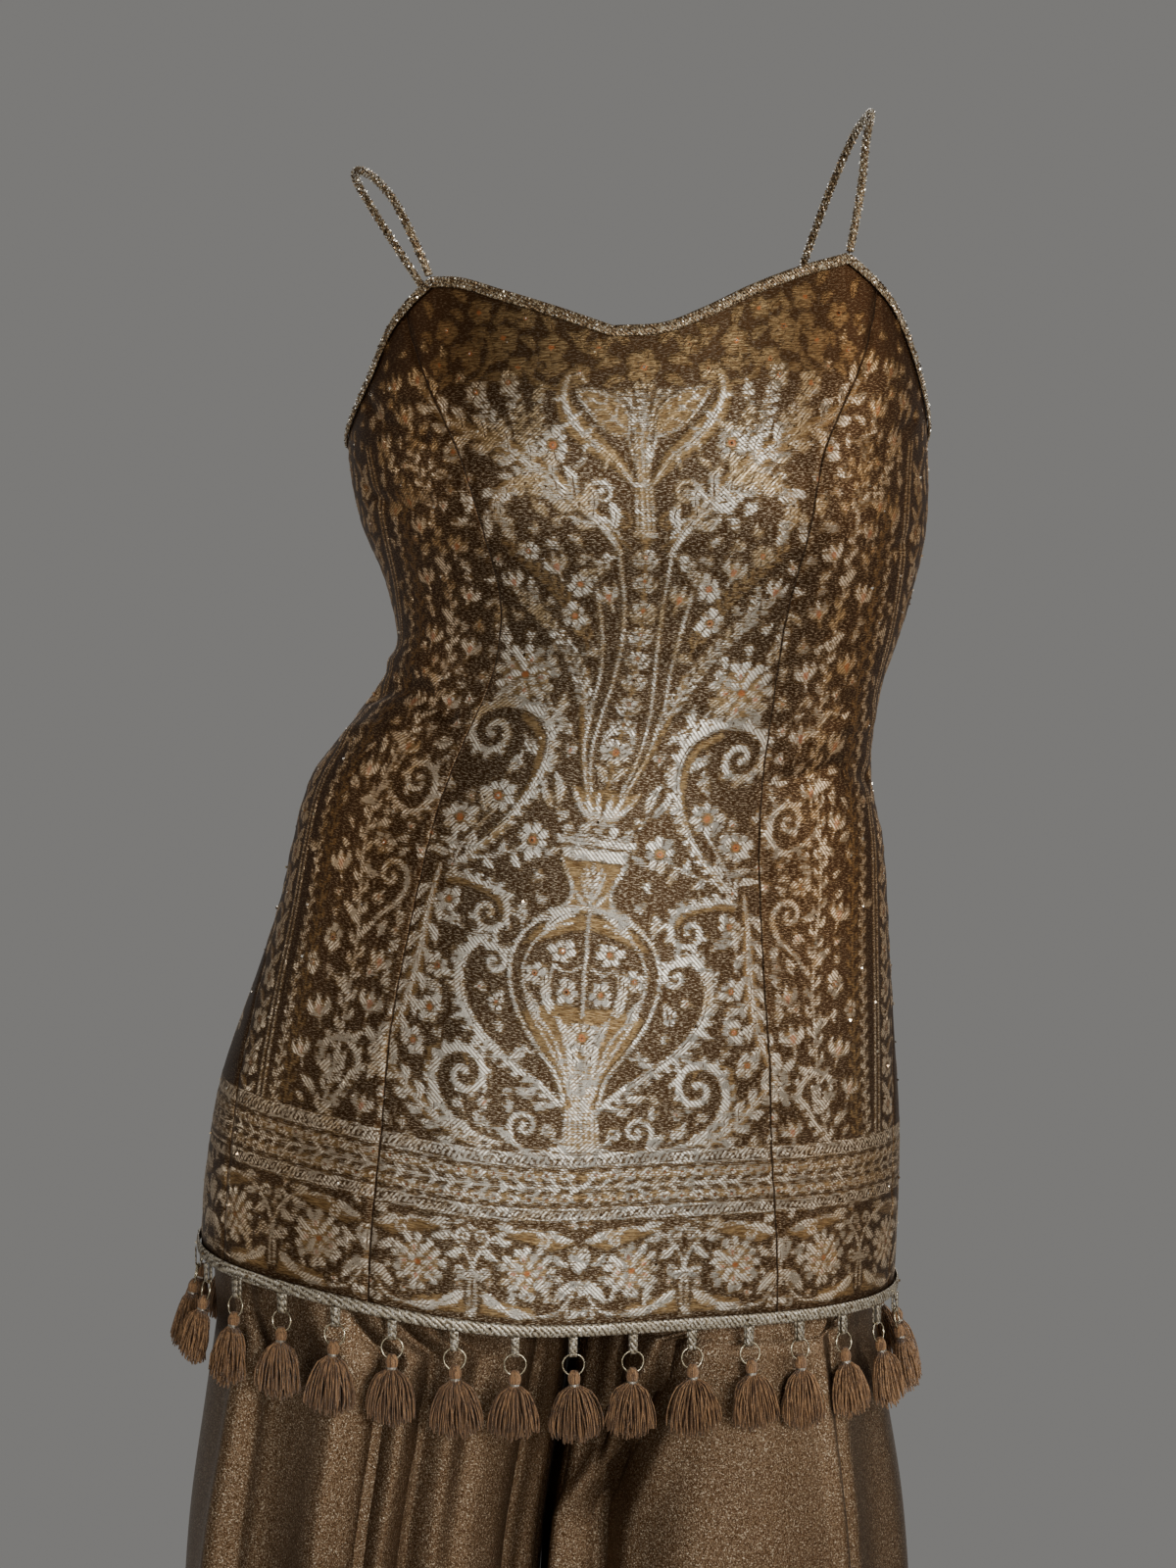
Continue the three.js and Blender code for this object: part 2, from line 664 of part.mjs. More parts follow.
// A point on one leg at a level and an angle round that leg, 0 at its front.
function legPoint(leg, level, angle) {
  const read = (column) => readTable(legs, 'level', column, level);
  const inner = read('gapX') + leg * read('gapHalf');
  const outer = leg < 0 ? read('leftOuter') : read('rightOuter');
  const centreX = (inner + outer) / 2;
  const halfWidth = Math.abs(outer - inner) / 2;
  const centreY = read(leg < 0 ? 'leftY' : 'rightY');
  const [x, y] = ovalPoint(angle, halfWidth, read('depth'), legSquareness);
  const reach = Math.hypot(x, y);
  const fade = Math.min(1, Math.abs(Math.cos(radians(angle))) * 2.5);
  const fold = foldHeight(leg, angle) * read('fold') * fade;
  return new THREE.Vector3(centreX + x * (1 + fold / reach), centreY + y * (1 + fold / reach), level);
}

// A trouser panel runs from the side to the middle: to the centre line above the crotch, and to the
// inside of the leg below it. The curve between the two is the crotch seam.
function trouserPanelPoint(leg, isFront, share, level) {
  const hipFrom = leg * 90;
  const hipTo = isFront ? leg * seamHalfAngle : leg * (180 - seamHalfAngle);
  const legTo = isFront ? -leg * 90 : leg * 270;
  const blend = level >= crotchCurveStart ? 0
    : level <= crotchLevel ? 1
      : 1 - Math.sqrt(1 - ((crotchCurveStart - level) / (crotchCurveStart - crotchLevel)) ** 2);
  const hip = level > crotchLevel ? hipPoint(level, lerp(hipFrom, hipTo, share)) : null;
  const onLeg = blend > 0 ? legPoint(leg, Math.min(level, crotchLevel), lerp(hipFrom, legTo, share)) : null;
  if (!hip) return onLeg;
  if (!onLeg) return hip;
  onLeg.z = level;
  return hip.lerp(onLeg, blend);
}

function trouserLevels() {
  const curve = (turn) => lerp(crotchCurveStart, crotchLevel, Math.sin(radians(turn)));
  const top = waistLevel - waistbandHeight - seamGap;
  return [top, ...hipLevels, crotchCurveStart, ...crotchTurns.map(curve), ...legLevels, legHemLevel].reverse();
}

function buildTrouserPanel(name, leg, isFront) {
  const levels = trouserLevels();
  const outer = [];
  const inner = [];
  const turnsRight = (leg < 0) === isFront;
  for (const level of levels) {
    const outerRow = [];
    const innerRow = [];
    for (let c = 0; c <= trouserColumns; c += 1) {
      const share = lerp(seamHalfShare, 1 - seamHalfShare, c / trouserColumns);
      const surface = (v, u) => trouserPanelPoint(leg, isFront, u, v);
      const point = surface(level, share);
      const step = Math.min(share, 1 - share, 0.01);
      const up = surface(level + 0.5, share).sub(surface(level - 0.5, share));
      const along = surface(level, share + step).sub(surface(level, share - step));
      const out = turnsRight ? along.cross(up).normalize() : up.cross(along).normalize();
      outerRow.push(point);
      innerRow.push(point.clone().addScaledVector(out, -trouserWall));
    }
    outer.push(turnsRight ? outerRow : outerRow.reverse());
    inner.push(turnsRight ? innerRow : innerRow.reverse());
  }
  addMesh(name, wallGeometry(outer, inner), lame);
}

buildTrouserPanel('trousers_front_left', -1, true);
buildTrouserPanel('trousers_front_right', 1, true);
buildTrouserPanel('trousers_back_left', -1, false);
buildTrouserPanel('trousers_back_right', 1, false);

// The elastic waistband stands on the tops of the four trouser panels.
function buildWaistband() {
  const stations = [];
  for (let i = 0; i < waistbandStations; i += 1) {
    const angle = 360 * i / waistbandStations;
    const foot = hipPoint(waistLevel - waistbandHeight, angle);
    const head = hipPoint(waistLevel, angle);
    const out = new THREE.Vector3(foot.x, foot.y, 0).normalize();
    const inside = (point) => point.clone().addScaledVector(out, -waistbandThickness);
    stations.push([inside(foot), foot, head, inside(head)]);
  }
  addMesh('waistband', ringGeometry(stations), lame);
}

buildWaistband();

export default suit;
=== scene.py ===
import math
from functools import partial
import bpy
import numpy as np
from mathutils import Matrix, Vector


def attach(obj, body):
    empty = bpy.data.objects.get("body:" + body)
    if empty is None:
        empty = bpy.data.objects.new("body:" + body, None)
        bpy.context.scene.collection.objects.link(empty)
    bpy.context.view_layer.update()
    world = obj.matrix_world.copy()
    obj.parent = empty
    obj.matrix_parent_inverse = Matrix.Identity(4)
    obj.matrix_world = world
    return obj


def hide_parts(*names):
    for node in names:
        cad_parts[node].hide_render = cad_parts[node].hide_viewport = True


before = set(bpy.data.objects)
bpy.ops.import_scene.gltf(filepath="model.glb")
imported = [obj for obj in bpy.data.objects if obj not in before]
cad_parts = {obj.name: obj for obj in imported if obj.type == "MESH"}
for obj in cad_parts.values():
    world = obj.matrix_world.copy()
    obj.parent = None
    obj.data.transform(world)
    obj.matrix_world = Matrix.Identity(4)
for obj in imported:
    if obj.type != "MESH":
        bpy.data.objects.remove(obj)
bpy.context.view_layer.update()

chance = np.random.default_rng(41)
mm = 0.001

# Camera, light and floor
cameraSetup = {"place": (-0.0135, -2.17859, -0.04632), "lookAt": (-0.0135, 0.0, -0.3525), "lens": 90.0,
    "sensor": 36.0}
floorSetup = {"radius": 3.2, "sides": 64, "level": -1.424, "colour": "#d9d6d1", "fadeFrom": 0.75, "fadeTo": 1.7}
worldSetup = {"colour": "#7b7a78", "strength": 1.0}
lightSetup = {
    "frontSoft": {"place": (0.9, -3.05, 0.2), "aim": (0.0, 0.0, -0.4), "size": (1.0, 1.0), "power": 62.0},
    "lowFill": {"place": (-0.9, -2.8, -0.5), "aim": (0.0, 0.0, -0.7), "size": (1.0, 1.0), "power": 8.0},
    "leftStrip": {"place": (-2.1, -0.3, 0.1), "aim": (0.0, 0.0, -0.5), "size": (0.4, 2.0), "power": 5.0},
    "rightStrip": {"place": (2.1, -0.5, 0.1), "aim": (0.0, 0.0, -0.5), "size": (0.4, 2.0), "power": 20.0},
    "backSoft": {"place": (0.4, 3.0, 1.2), "aim": (0.0, 0.0, -0.5), "size": (2.0, 1.6), "power": 40.0},
}


def linear(hexColour):
    # sRGB hex to the linear colour that the shaders use
    parts = [int(hexColour[i:i + 2], 16) / 255 for i in (1, 3, 5)]
    return tuple(p / 12.92 if p <= 0.04045 else ((p + 0.055) / 1.055) ** 2.4 for p in parts) + (1.0,)


def aimAt(obj, target):
    away = Vector(target) - obj.location
    obj.rotation_euler = away.to_track_quat("-Z", "Y").to_euler()


def makeCamera(setup):
    data = bpy.data.cameras.new("camera")
    data.lens = setup["lens"]
    data.sensor_width = setup["sensor"]
    data.clip_end = 60
    camera = bpy.data.objects.new("camera", data)
    bpy.context.scene.collection.objects.link(camera)
    camera.location = setup["place"]
    aimAt(camera, setup["lookAt"])
    bpy.context.scene.camera = camera


def makeLight(name, setup):
    data = bpy.data.lights.new(name, "AREA")
    data.shape = "RECTANGLE"
    data.size, data.size_y = setup["size"]
    data.energy = setup["power"]
    light = bpy.data.objects.new(name, data)
    bpy.context.scene.collection.objects.link(light)
    light.location = setup["place"]
    aimAt(light, setup["aim"])


makeCamera(cameraSetup)
for lightName, lightValues in lightSetup.items():
    makeLight(lightName, lightValues)


# Shader helpers
def addNode(tree, kind, settings=None, links=None):
    node = tree.nodes.new(kind)
    for name, value in (settings or {}).items():
        if isinstance(name, int) or name in node.inputs:
            node.inputs[name].default_value = value
        else:
            setattr(node, name, value)
    for name, source in (links or {}).items():
        tree.links.new(source, node.inputs[name])
    return node


def startMaterial(name, preview):
    material = bpy.data.materials.new(name)
    material.use_nodes = True
    material.diffuse_color = linear(preview)
    tree = material.node_tree
    shader = tree.nodes["Principled BSDF"]
    return material, tree, shader


def feed(tree, node, values):
    # a socket is linked, and a plain value is set on the node's own socket
    for key, value in values.items():
        if isinstance(value, bpy.types.NodeSocket):
            tree.links.new(value, node.inputs[key])
        elif value is not None:
            node.inputs[key].default_value = value


def mixColour(tree, amount, first, second):
    node = addNode(tree, "ShaderNodeMix", {"data_type": "RGBA"})
    feed(tree, node, {0: amount, 6: first, 7: second})
    return node.outputs[2]


def calculate(tree, operation, first, second=None, third=None):
    node = addNode(tree, "ShaderNodeMath", {"operation": operation})
    feed(tree, node, {0: first, 1: second, 2: third})
    return node.outputs[0]


def rampBetween(tree, value, low, high, outLow=0.0, outHigh=1.0):
    node = addNode(tree, "ShaderNodeMapRange", {"interpolation_type": "SMOOTHSTEP", "From Min": low, "From Max": high,
                                                "To Min": outLow, "To Max": outHigh}, {"Value": value})
    return node.outputs[0]


def stretchedNoise(tree, vector, stretch, detail=2.0, roughness=0.5, offset=(0.0, 0.0, 0.0)):
    mapping = addNode(tree, "ShaderNodeMapping", {"Scale": stretch, "Location": offset}, {"Vector": vector})
    noise = addNode(tree, "ShaderNodeTexNoise", {"Scale": 1.0, "Detail": detail, "Roughness": roughness},
                    {"Vector": mapping.outputs[0]})
    return noise.outputs[0]


def objectMillimetres(tree):
    coordinates = addNode(tree, "ShaderNodeTexCoord")
    scaled = addNode(tree, "ShaderNodeVectorMath", {"operation": "SCALE", "Scale": 1000.0},
                     {0: coordinates.outputs["Object"]})
    return scaled.outputs[0]


def makeFloor(setup):
    radius, count = setup["radius"], setup["sides"]
    points = [(radius * math.cos(2 * math.pi * i / count), radius * math.sin(2 * math.pi * i / count), 0.0)
              for i in range(count)]
    mesh = bpy.data.meshes.new("floor")
    mesh.from_pydata(points, [], [list(range(count))])
    floor = bpy.data.objects.new("floor", mesh)
    floor.location.z = setup["level"]
    bpy.context.scene.collection.objects.link(floor)
    # painted studio floor: matt, with the faint mottling of a rolled coat
    material, tree, shader = startMaterial("paintedFloor", setup["colour"])
    mottle = stretchedNoise(tree, objectMillimetres(tree), (0.004, 0.004, 0.004))
    colour = mixColour(tree, rampBetween(tree, mottle, 0.3, 0.7), linear(setup["colour"]), linear("#d2cfca"))
    feed(tree, shader, {"Base Color": colour, "Roughness": 0.8})
    # the floor fades into the plain backdrop, so no far edge shows
    away = addNode(tree, "ShaderNodeVectorMath", {"operation": "LENGTH"},
                   {0: addNode(tree, "ShaderNodeTexCoord").outputs["Object"]}).outputs["Value"]
    clear = addNode(tree, "ShaderNodeBsdfTransparent")
    fade = addNode(tree, "ShaderNodeMixShader", links={
        0: rampBetween(tree, away, setup["fadeFrom"], setup["fadeTo"]), 1: shader.outputs[0], 2: clear.outputs[0]})
    tree.links.new(fade.outputs[0], tree.nodes["Material Output"].inputs["Surface"])
    mesh.materials.append(material)


makeFloor(floorSetup)
world = bpy.data.worlds.new("studio")
world.use_nodes = True
feed(world.node_tree, world.node_tree.nodes["Background"],
    {0: linear(worldSetup["colour"]), 1: worldSetup["strength"]})
bpy.context.scene.world = world
print("camera, lights and floor are set")


# The form of the kurti, in the same tables as the part's source
def table(columns, rows):
    grid = np.array(rows, float)
    grid = grid[np.argsort(grid[:, 0])]
    return {name: grid[:, i] for i, name in enumerate(columns)}


sections = table(["level", "centreX", "halfWidth", "frontDepth", "backDepth", "squareness", "tilt", "yaw", "seam",
                  "side", "back"], [
    [-640, -36, 198, 126, 126, 2.15, -4.4, 8, 34, 70, 145],
    [-585, -33, 197, 124, 128, 2.15, -4.4, 7, 33.5, 70, 145],
    [-530, -28, 192, 121, 130, 2.1, -4.6, 5, 33, 72, 145],
    [-480, -21, 181, 117, 125, 2.1, -5, 2, 34, 79, 145],
    [-435, -15, 172, 112, 114, 2.05, -5.5, 0, 34, 86, 145],
    [-400, -12, 167, 107, 104, 2, -6, 0, 33.5, 90, 145],
    [-365, -8, 160, 103, 97, 2, -6.5, 0, 33, 90, 145],
    [-330, 1, 144, 99, 92, 2, -6.5, -1, 34.5, 90, 145],
    [-290, 14, 135, 99, 92, 2.05, -5, -2.5, 34, 90, 145],
    [-250, 19, 144, 104, 94, 2.1, -3, -2, 31, 90, 145],
    [-205, 17, 157, 113, 98, 2.15, -1, 0, 31, 90, 147],
    [-160, 14, 160, 116, 101, 2.2, 0.5, 0.5, 35, 90, 148],
    [-115, 16, 155, 110, 103, 2.25, 2, 0, 47, 90, 148],
    [-60, 14, 142, 98, 103, 2.3, 3.3, 0, 62, 90, 148]])
neckLeft = table(["angle", "level"], [[-48, -64], [-40, -65], [-29, -73], [-18, -82.5], [-6, -94.5]])
neckRight = table(["angle", "level"], [[-6, -94.5], [5, -93.5], [12, -87.5], [22.5, -77], [34, -69], [48, -63.5]])
armToBack = table(["angle", "level"], [[48, -63.8], [56, -78], [62, -92], [68, -116], [78, -142], [90, -156],
                                       [110, -158], [130, -141], [148, -122], [165, -131], [180, -134]])
kurtiForm = {"wall": 1.6, "seamGap": 0.3, "seamRadius": 150.0, "cupFullness": 12.0, "cupAngle": 32.0,
             "cupSpreadAngle": 20.0, "cupLevel": -190.0, "cupSpreadLevel": 50.0, "cupTurn": 0.6, "neckAngle": -6.0,
             "strapAngle": 48.0, "strapBackAngle": 148.0, "hemLevel": -628.0, "hemDip": 8.0, "hemDipAngle": -12.0,
             "hemDipSpread": 24.0}


def readTable(rows, key, column, at):
    # smooth value of one column between the rows of a table
    x, y = rows[key], rows[column]
    gap = np.diff(x)
    slope = np.diff(y) / gap
    tangent = np.empty_like(y)
    tangent[0], tangent[-1] = slope[0], slope[-1]
    tangent[1:-1] = (slope[:-1] * gap[1:] + slope[1:] * gap[:-1]) / (gap[:-1] + gap[1:])
    at = np.clip(at, x[0], x[-1])
    i = np.clip(np.searchsorted(x, at) - 1, 0, len(x) - 2)
    t = (at - x[i]) / gap[i]
    return ((2 * t**3 - 3 * t**2 + 1) * y[i] + (t**3 - 2 * t**2 + t) * gap[i] * tangent[i]
            + (3 * t**2 - 2 * t**3) * y[i + 1] + (t**3 - t**2) * gap[i] * tangent[i + 1])


def bell(distance, spread):
    return np.exp(-(distance / spread) ** 2)


def wrapAngle(angle):
    return (np.asarray(angle, float) + 180) % 360 - 180


def ovalPoint(angle, halfWidth, depth, squareness):
    s, c = np.sin(np.radians(angle)), np.cos(np.radians(angle))
    k = (np.abs(s) ** squareness + np.abs(c) ** squareness) ** (-1 / squareness)
    return halfWidth * s * k, -depth * c * k


def kurtiPoint(level, angle):
    level, angle = np.broadcast_arrays(np.asarray(level, float), np.asarray(angle, float))
    form = kurtiForm

    def read(column):
        return readTable(sections, "level", column, level)

    turned = wrapAngle(angle)
    depth = np.where(np.abs(turned) < 90, read("frontDepth"), read("backDepth"))
    x, y = ovalPoint(angle, read("halfWidth"), depth, read("squareness"))
    cup = form["cupFullness"] * bell(np.abs(turned) - form["cupAngle"], form["cupSpreadAngle"]) \
        * bell(level - form["cupLevel"], form["cupSpreadLevel"])
    x = x + cup * np.sin(np.radians(turned * form["cupTurn"]))
    y = y - cup * np.cos(np.radians(turned * form["cupTurn"]))
    yaw = np.radians(read("yaw"))
    turnedX = x * np.cos(yaw) - y * np.sin(yaw)
    turnedY = x * np.sin(yaw) + y * np.cos(yaw)
    return np.stack([read("centreX") + turnedX, turnedY, level + np.tan(np.radians(read("tilt"))) * turnedX], -1)


def unit(vectors):
    return vectors / np.linalg.norm(vectors, axis=-1, keepdims=True)


def lengthAlong(path):
    return np.concatenate([[0], np.cumsum(np.linalg.norm(np.diff(path, axis=0), axis=1))])


def pointAt(at, length, path):
    # the place that is so far along a path
    return np.stack([np.interp(at, length, column) for column in path.T], -1)


def kurtiOutward(level, angle):
    level, angle = np.broadcast_arrays(np.asarray(level, float), np.asarray(angle, float))
    along = kurtiPoint(level + 0.5, angle) - kurtiPoint(level - 0.5, angle)
    across = kurtiPoint(level, angle + 0.5) - kurtiPoint(level, angle - 0.5)
    return unit(np.cross(across, along))


def hemLevelAt(angle):
    form = kurtiForm
    return form["hemLevel"] - form["hemDip"] * bell(wrapAngle(angle) - form["hemDipAngle"], form["hemDipSpread"])


def topLevelAt(angle):
    turned = wrapAngle(angle)
    return np.where(np.abs(turned) >= kurtiForm["strapAngle"], readTable(armToBack, "angle", "level", np.abs(turned)),
                    np.where(turned < kurtiForm["neckAngle"], readTable(neckLeft, "angle", "level", turned),
                             readTable(neckRight, "angle", "level", turned)))


# distance round the cloth from the front middle, kept as a grid of levels and angles
arcStep = 6.0
arcLevels = np.arange(-664.0, -40.0, arcStep)
arcAngles = np.arange(-180.0, 180.1, 1.0)
arcGrid = kurtiPoint(arcLevels[:, None], arcAngles[None, :])
arcGrid = np.cumsum(np.linalg.norm(np.diff(arcGrid, axis=1), axis=2), axis=1)
arcGrid = np.concatenate([np.zeros((len(arcLevels), 1)), arcGrid], axis=1)
arcGrid -= arcGrid[:, [180]]


def acrossCloth(level, angle):
    # millimetres round the cloth from the front middle, + to the right
    row = np.clip((level - arcLevels[0]) / arcStep, 0, len(arcLevels) - 1.001)
    column = np.clip(angle + 180.0, 0, 359.999)
    r, c = row.astype(int), column.astype(int)
    fr, fc = row - r, column - c
    return ((1 - fr) * ((1 - fc) * arcGrid[r, c] + fc * arcGrid[r, c + 1])
            + fr * ((1 - fc) * arcGrid[r + 1, c] + fc * arcGrid[r + 1, c + 1]))


# Mesh helpers
def makePiece(name, points, faces, materials, materialIndex=None, smooth=True):
    mesh = bpy.data.meshes.new(name)
    mesh.from_pydata((np.asarray(points) * mm).tolist(), [], faces if isinstance(faces, list) else faces.tolist())
    for material in materials:
        mesh.materials.append(material)
    if materialIndex is not None:
        mesh.polygons.foreach_set("material_index", np.asarray(materialIndex, dtype=np.int32))
    if smooth:
        mesh.polygons.foreach_set("use_smooth", np.ones(len(mesh.polygons), dtype=bool))
    mesh.update()
    piece = bpy.data.objects.new(name, mesh)
    bpy.context.scene.collection.objects.link(piece)
    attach(piece, "root")
    return piece


def addValues(piece, name, values, kind="FLOAT"):
    values = np.asarray(values, dtype=np.float32)
    attribute = piece.data.attributes.new(name, kind, "POINT")
    attribute.data.foreach_set("value" if kind == "FLOAT" else "vector", values.ravel())


def gridFaces(rows, columns, start=0, flip=False):
    ids = np.arange(rows * columns).reshape(rows, columns) + start
    quads = np.stack([ids[:-1, :-1], ids[:-1, 1:], ids[1:, 1:], ids[1:, :-1]], -1).reshape(-1, 4)
    return quads[:, ::-1] if flip else quads


def stitch(fine, coarse, stepOf):
    # triangles between a fine edge and the coarse edge behind it
    faces = []
    for j in range(len(coarse) - 1):
        low, high = stepOf[j], stepOf[j + 1]
        middle = (low + high) // 2
        for i in range(low, high):
            faces.append([fine[i], fine[i + 1], coarse[j] if i < middle else coarse[j + 1]])
        faces.append([fine[middle], coarse[j + 1], coarse[j]])
    return faces


def shellFaces(rows, columns, step):
    # a closed thin shell: a fine outer grid, a coarse inner one and the four rims
    rowSteps = sorted(set(list(range(0, rows - 1, step)) + [rows - 1]))
    columnSteps = sorted(set(list(range(0, columns - 1, step)) + [columns - 1]))
    outer = np.arange(rows * columns).reshape(rows, columns)
    inner = np.arange(len(rowSteps) * len(columnSteps)).reshape(len(rowSteps), len(columnSteps)) + rows * columns
    faces = gridFaces(rows, columns).tolist()
    faces += gridFaces(len(rowSteps), len(columnSteps), rows * columns, flip=True).tolist()
    rims = [(outer[0], inner[0], columnSteps, True), (outer[-1], inner[-1], columnSteps, False),
            (outer[:, 0], inner[:, 0], rowSteps, False), (outer[:, -1], inner[:, -1], rowSteps, True)]
    for fine, coarse, steps, flip in rims:
        faces += [face[::-1] if flip else face for face in stitch(fine.tolist(), coarse.tolist(), steps)]
    return faces, rowSteps, columnSteps


def smoothCurve(points, perSpan=8):
    # Catmull-Rom through the given points, any number of columns
    points = np.asarray(points, float)
    if len(points) < 3:
        t = np.linspace(0, 1, perSpan + 1)[:, None]
        return points[0] * (1 - t) + points[-1] * t
    padded = np.vstack([2 * points[0] - points[1], points, 2 * points[-1] - points[-2]])
    pieces = []
    t = np.linspace(0, 1, perSpan, endpoint=False)[:, None]
    for i in range(1, len(padded) - 2):
        a, b, c, d = padded[i - 1], padded[i], padded[i + 1], padded[i + 2]
        pieces.append(0.5 * (2 * b + (c - a) * t + (2 * a - 5 * b + 4 * c - d) * t**2
                             + (3 * b - a - 3 * c + d) * t**3))
    pieces.append(points[-1:])
    return np.vstack(pieces)


# Materials
def bumpFrom(tree, shader, height, distance, strength=1.0):
    node = addNode(tree, "ShaderNodeBump", {"Distance": distance, "Strength": strength}, {"Height": height})
    tree.links.new(node.outputs[0], shader.inputs["Normal"])


def makeBrocade(name, colours):
    # silk brocade: satin ground with silver and old-gold zari floats woven in along the weft, so
    # motif edges are ragged sideways; silver is a painted highlight, and the sides and yoke have painted shade
    material, tree, shader = startMaterial(name, colours["ground"])
    calc, ramp, noise, mix = (partial(tool, tree) for tool in (calculate, rampBetween, stretchedNoise, mixColour))
    tones = {part: linear(code) for part, code in colours.items()}
    cloth = addNode(tree, "ShaderNodeAttribute", {"attribute_name": "cloth"}).outputs["Vector"]

    def field(fieldName):
        return addNode(tree, "ShaderNodeAttribute", {"attribute_name": fieldName}).outputs["Fac"]

    # real weft floats are about 0.4 mm thick; drawn 0.7 mm thick and 6 mm long so that they show
    weft = noise(cloth, (0.16, 1.5, 1.0), 1.0)
    fineWeft = noise(cloth, (0.3, 2.2, 1.0), 1.0, offset=(40.0, 11.0, 0.0))
    speckle = noise(cloth, (0.42, 1.7, 1.0), 2.0, 0.7)
    patch = noise(cloth, (0.04, 0.05, 1.0), 2.0, offset=(7.0, 3.0, 0.0))
    parts = addNode(tree, "ShaderNodeSeparateXYZ", links={0: cloth})
    motifEdge = calc("MULTIPLY_ADD", calc("SUBTRACT", weft, 0.5), 6.2, field("silverLine"))
    motif = ramp(motifEdge, 0.3, -0.3)
    # the old-gold weft floats on past each motif in short streaks
    haloEdge = calc("MULTIPLY_ADD", calc("SUBTRACT", fineWeft, 0.5), 11.0, field("silverLine"))
    halo = calc("MULTIPLY", ramp(haloEdge, 1.8, -0.4), 0.6)
    goldEdge = calc("MULTIPLY_ADD", calc("SUBTRACT", fineWeft, 0.5), 7.0, field("goldFill"))
    gold = calc("MAXIMUM", ramp(goldEdge, 0.8, -0.5), halo)
    copper = ramp(calc("MULTIPLY_ADD", calc("SUBTRACT", weft, 0.5), 2.5, field("copperEye")), 0.5, -0.3)
    dark = ramp(field("darkLine"), 0.2, -0.25)
    # diagonal binding of the floats, leaning either way, drawn at 2.4 mm so that it shows
    lean = ramp(patch, 0.47, 0.53, -1.0, 1.0)
    across = calc("MULTIPLY_ADD", parts.outputs[1], lean, parts.outputs[0])
    phase = calc("MULTIPLY_ADD", across, 2 * math.pi / 2.4, calc("MULTIPLY", speckle, 3.0))
    hatch = ramp(calc("SINE", phase), -0.6, 0.35)
    motifCover = calc("MULTIPLY", motif, calc("MULTIPLY_ADD", hatch, 0.72, 0.28))
    motifCover = calc("MULTIPLY", motifCover, calc("SUBTRACT", 1.0, dark))
    goldCover = calc("MULTIPLY", gold, calc("MULTIPLY_ADD", ramp(fineWeft, 0.35, 0.6), 0.5, 0.5))
    goldCover = calc("MULTIPLY", goldCover, calc("MULTIPLY_ADD", dark, -0.8, 1.0))
    # painted shade: the gold covers less of the yoke, so the upper chest is darker
    goldCover = calc("MULTIPLY", goldCover, ramp(parts.outputs[1], -140.0, -112.0, 1.0, 0.8))
    # painted highlight: the motifs turn silver in streaks over the middle of the front; the yoke and the sides get
    # painted shade and stay old gold
    paintedSideShade = ramp(calc("ABSOLUTE", parts.outputs[0]), 90.0, 190.0, 0.0, 0.5)
    yoke = ramp(parts.outputs[1], -140.0, -112.0, 0.0, 0.9)
    streak = calc("MULTIPLY_ADD", fineWeft, 0.45, calc("MULTIPLY", patch, 0.55))
    # painted highlight: a little more silver lower on the front than up the chest
    low = ramp(parts.outputs[1], -150.0, -480.0, -0.035, 0.05)
    paintedSilverHighlight = ramp(calc("ADD", streak, low), 0.41, 0.51)
    paintedSilverHighlight = calc("MULTIPLY", paintedSilverHighlight, calc("SUBTRACT", 1.0, calc("MAXIMUM", paintedSideShade, yoke)))
    # painted shade: the pale ground flecks fade out over the sides and the yoke
    paintedFleckShade = calc("MAXIMUM", paintedSideShade, calc("MULTIPLY", yoke, 0.8))
    fleck = calc("MULTIPLY", ramp(speckle, 0.52, 0.63), calc("SUBTRACT", 1.0, paintedFleckShade))
    groundColour = mix(fleck, tones["ground"], tones["groundGlint"])
    goldColour = mix(ramp(weft, 0.35, 0.65), tones["goldShade"], tones["gold"])
    motifColour = mix(ramp(fineWeft, 0.3, 0.6), tones["gold"], tones["brightGold"])
    motifColour = mix(paintedSilverHighlight, motifColour, tones["silver"])
    colour = mix(goldCover, groundColour, goldColour)
    colour = mix(motifCover, colour, motifColour)
    # painted shade: the copper hearts fade towards the sides
    copper = calc("MULTIPLY", copper, calc("MULTIPLY_ADD", paintedSideShade, -1.0, 0.75))
    colour = mix(copper, colour, tones["copper"])
    # painted shade: a warm darkening tint over the sides, weaker low on the front
    paintedSideWarmth = ramp(calc("ABSOLUTE", parts.outputs[0]), 50.0, 130.0, 0.0, 1.0)
    paintedSideWarmth = calc("MULTIPLY", paintedSideWarmth, ramp(parts.outputs[1], -500.0, -380.0, 0.45, 1.0))
    paintedShadeTint = mix(paintedSideWarmth, (1.0, 1.0, 1.0, 1.0), linear("#ffe7cb"))
    shadeTintedColour = addNode(tree, "ShaderNodeMix", {"data_type": "RGBA", "blend_type": "MULTIPLY", 0: 1.0},
        {6: colour, 7: paintedShadeTint})
    cover = calc("MAXIMUM", motifCover, calc("MULTIPLY", goldCover, 0.75))
    feed(tree, shader, {"Base Color": shadeTintedColour.outputs[2], "Metallic": 0.9,
                        "Roughness": ramp(cover, 0.0, 1.0, 0.46, 0.34)})
    height = calc("MULTIPLY_ADD", cover, 0.7, calc("MULTIPLY", speckle, 0.6))
    bumpFrom(tree, shader, height, 0.0005, 0.8)
    return material


def makeClothBack(name, colour):
    # wrong side of the brocade: matt, with short floats of the pattern yarns lying across
    material, tree, shader = startMaterial(name, colour)
    floats = stretchedNoise(tree, objectMillimetres(tree), (0.3, 0.3, 1.8), 2.0)
    feed(tree, shader, {"Base Color": mixColour(tree, floats, linear(colour), linear("#4a3826")), "Roughness": 0.85})
    bumpFrom(tree, shader, floats, 0.0003, 0.6)
    return material


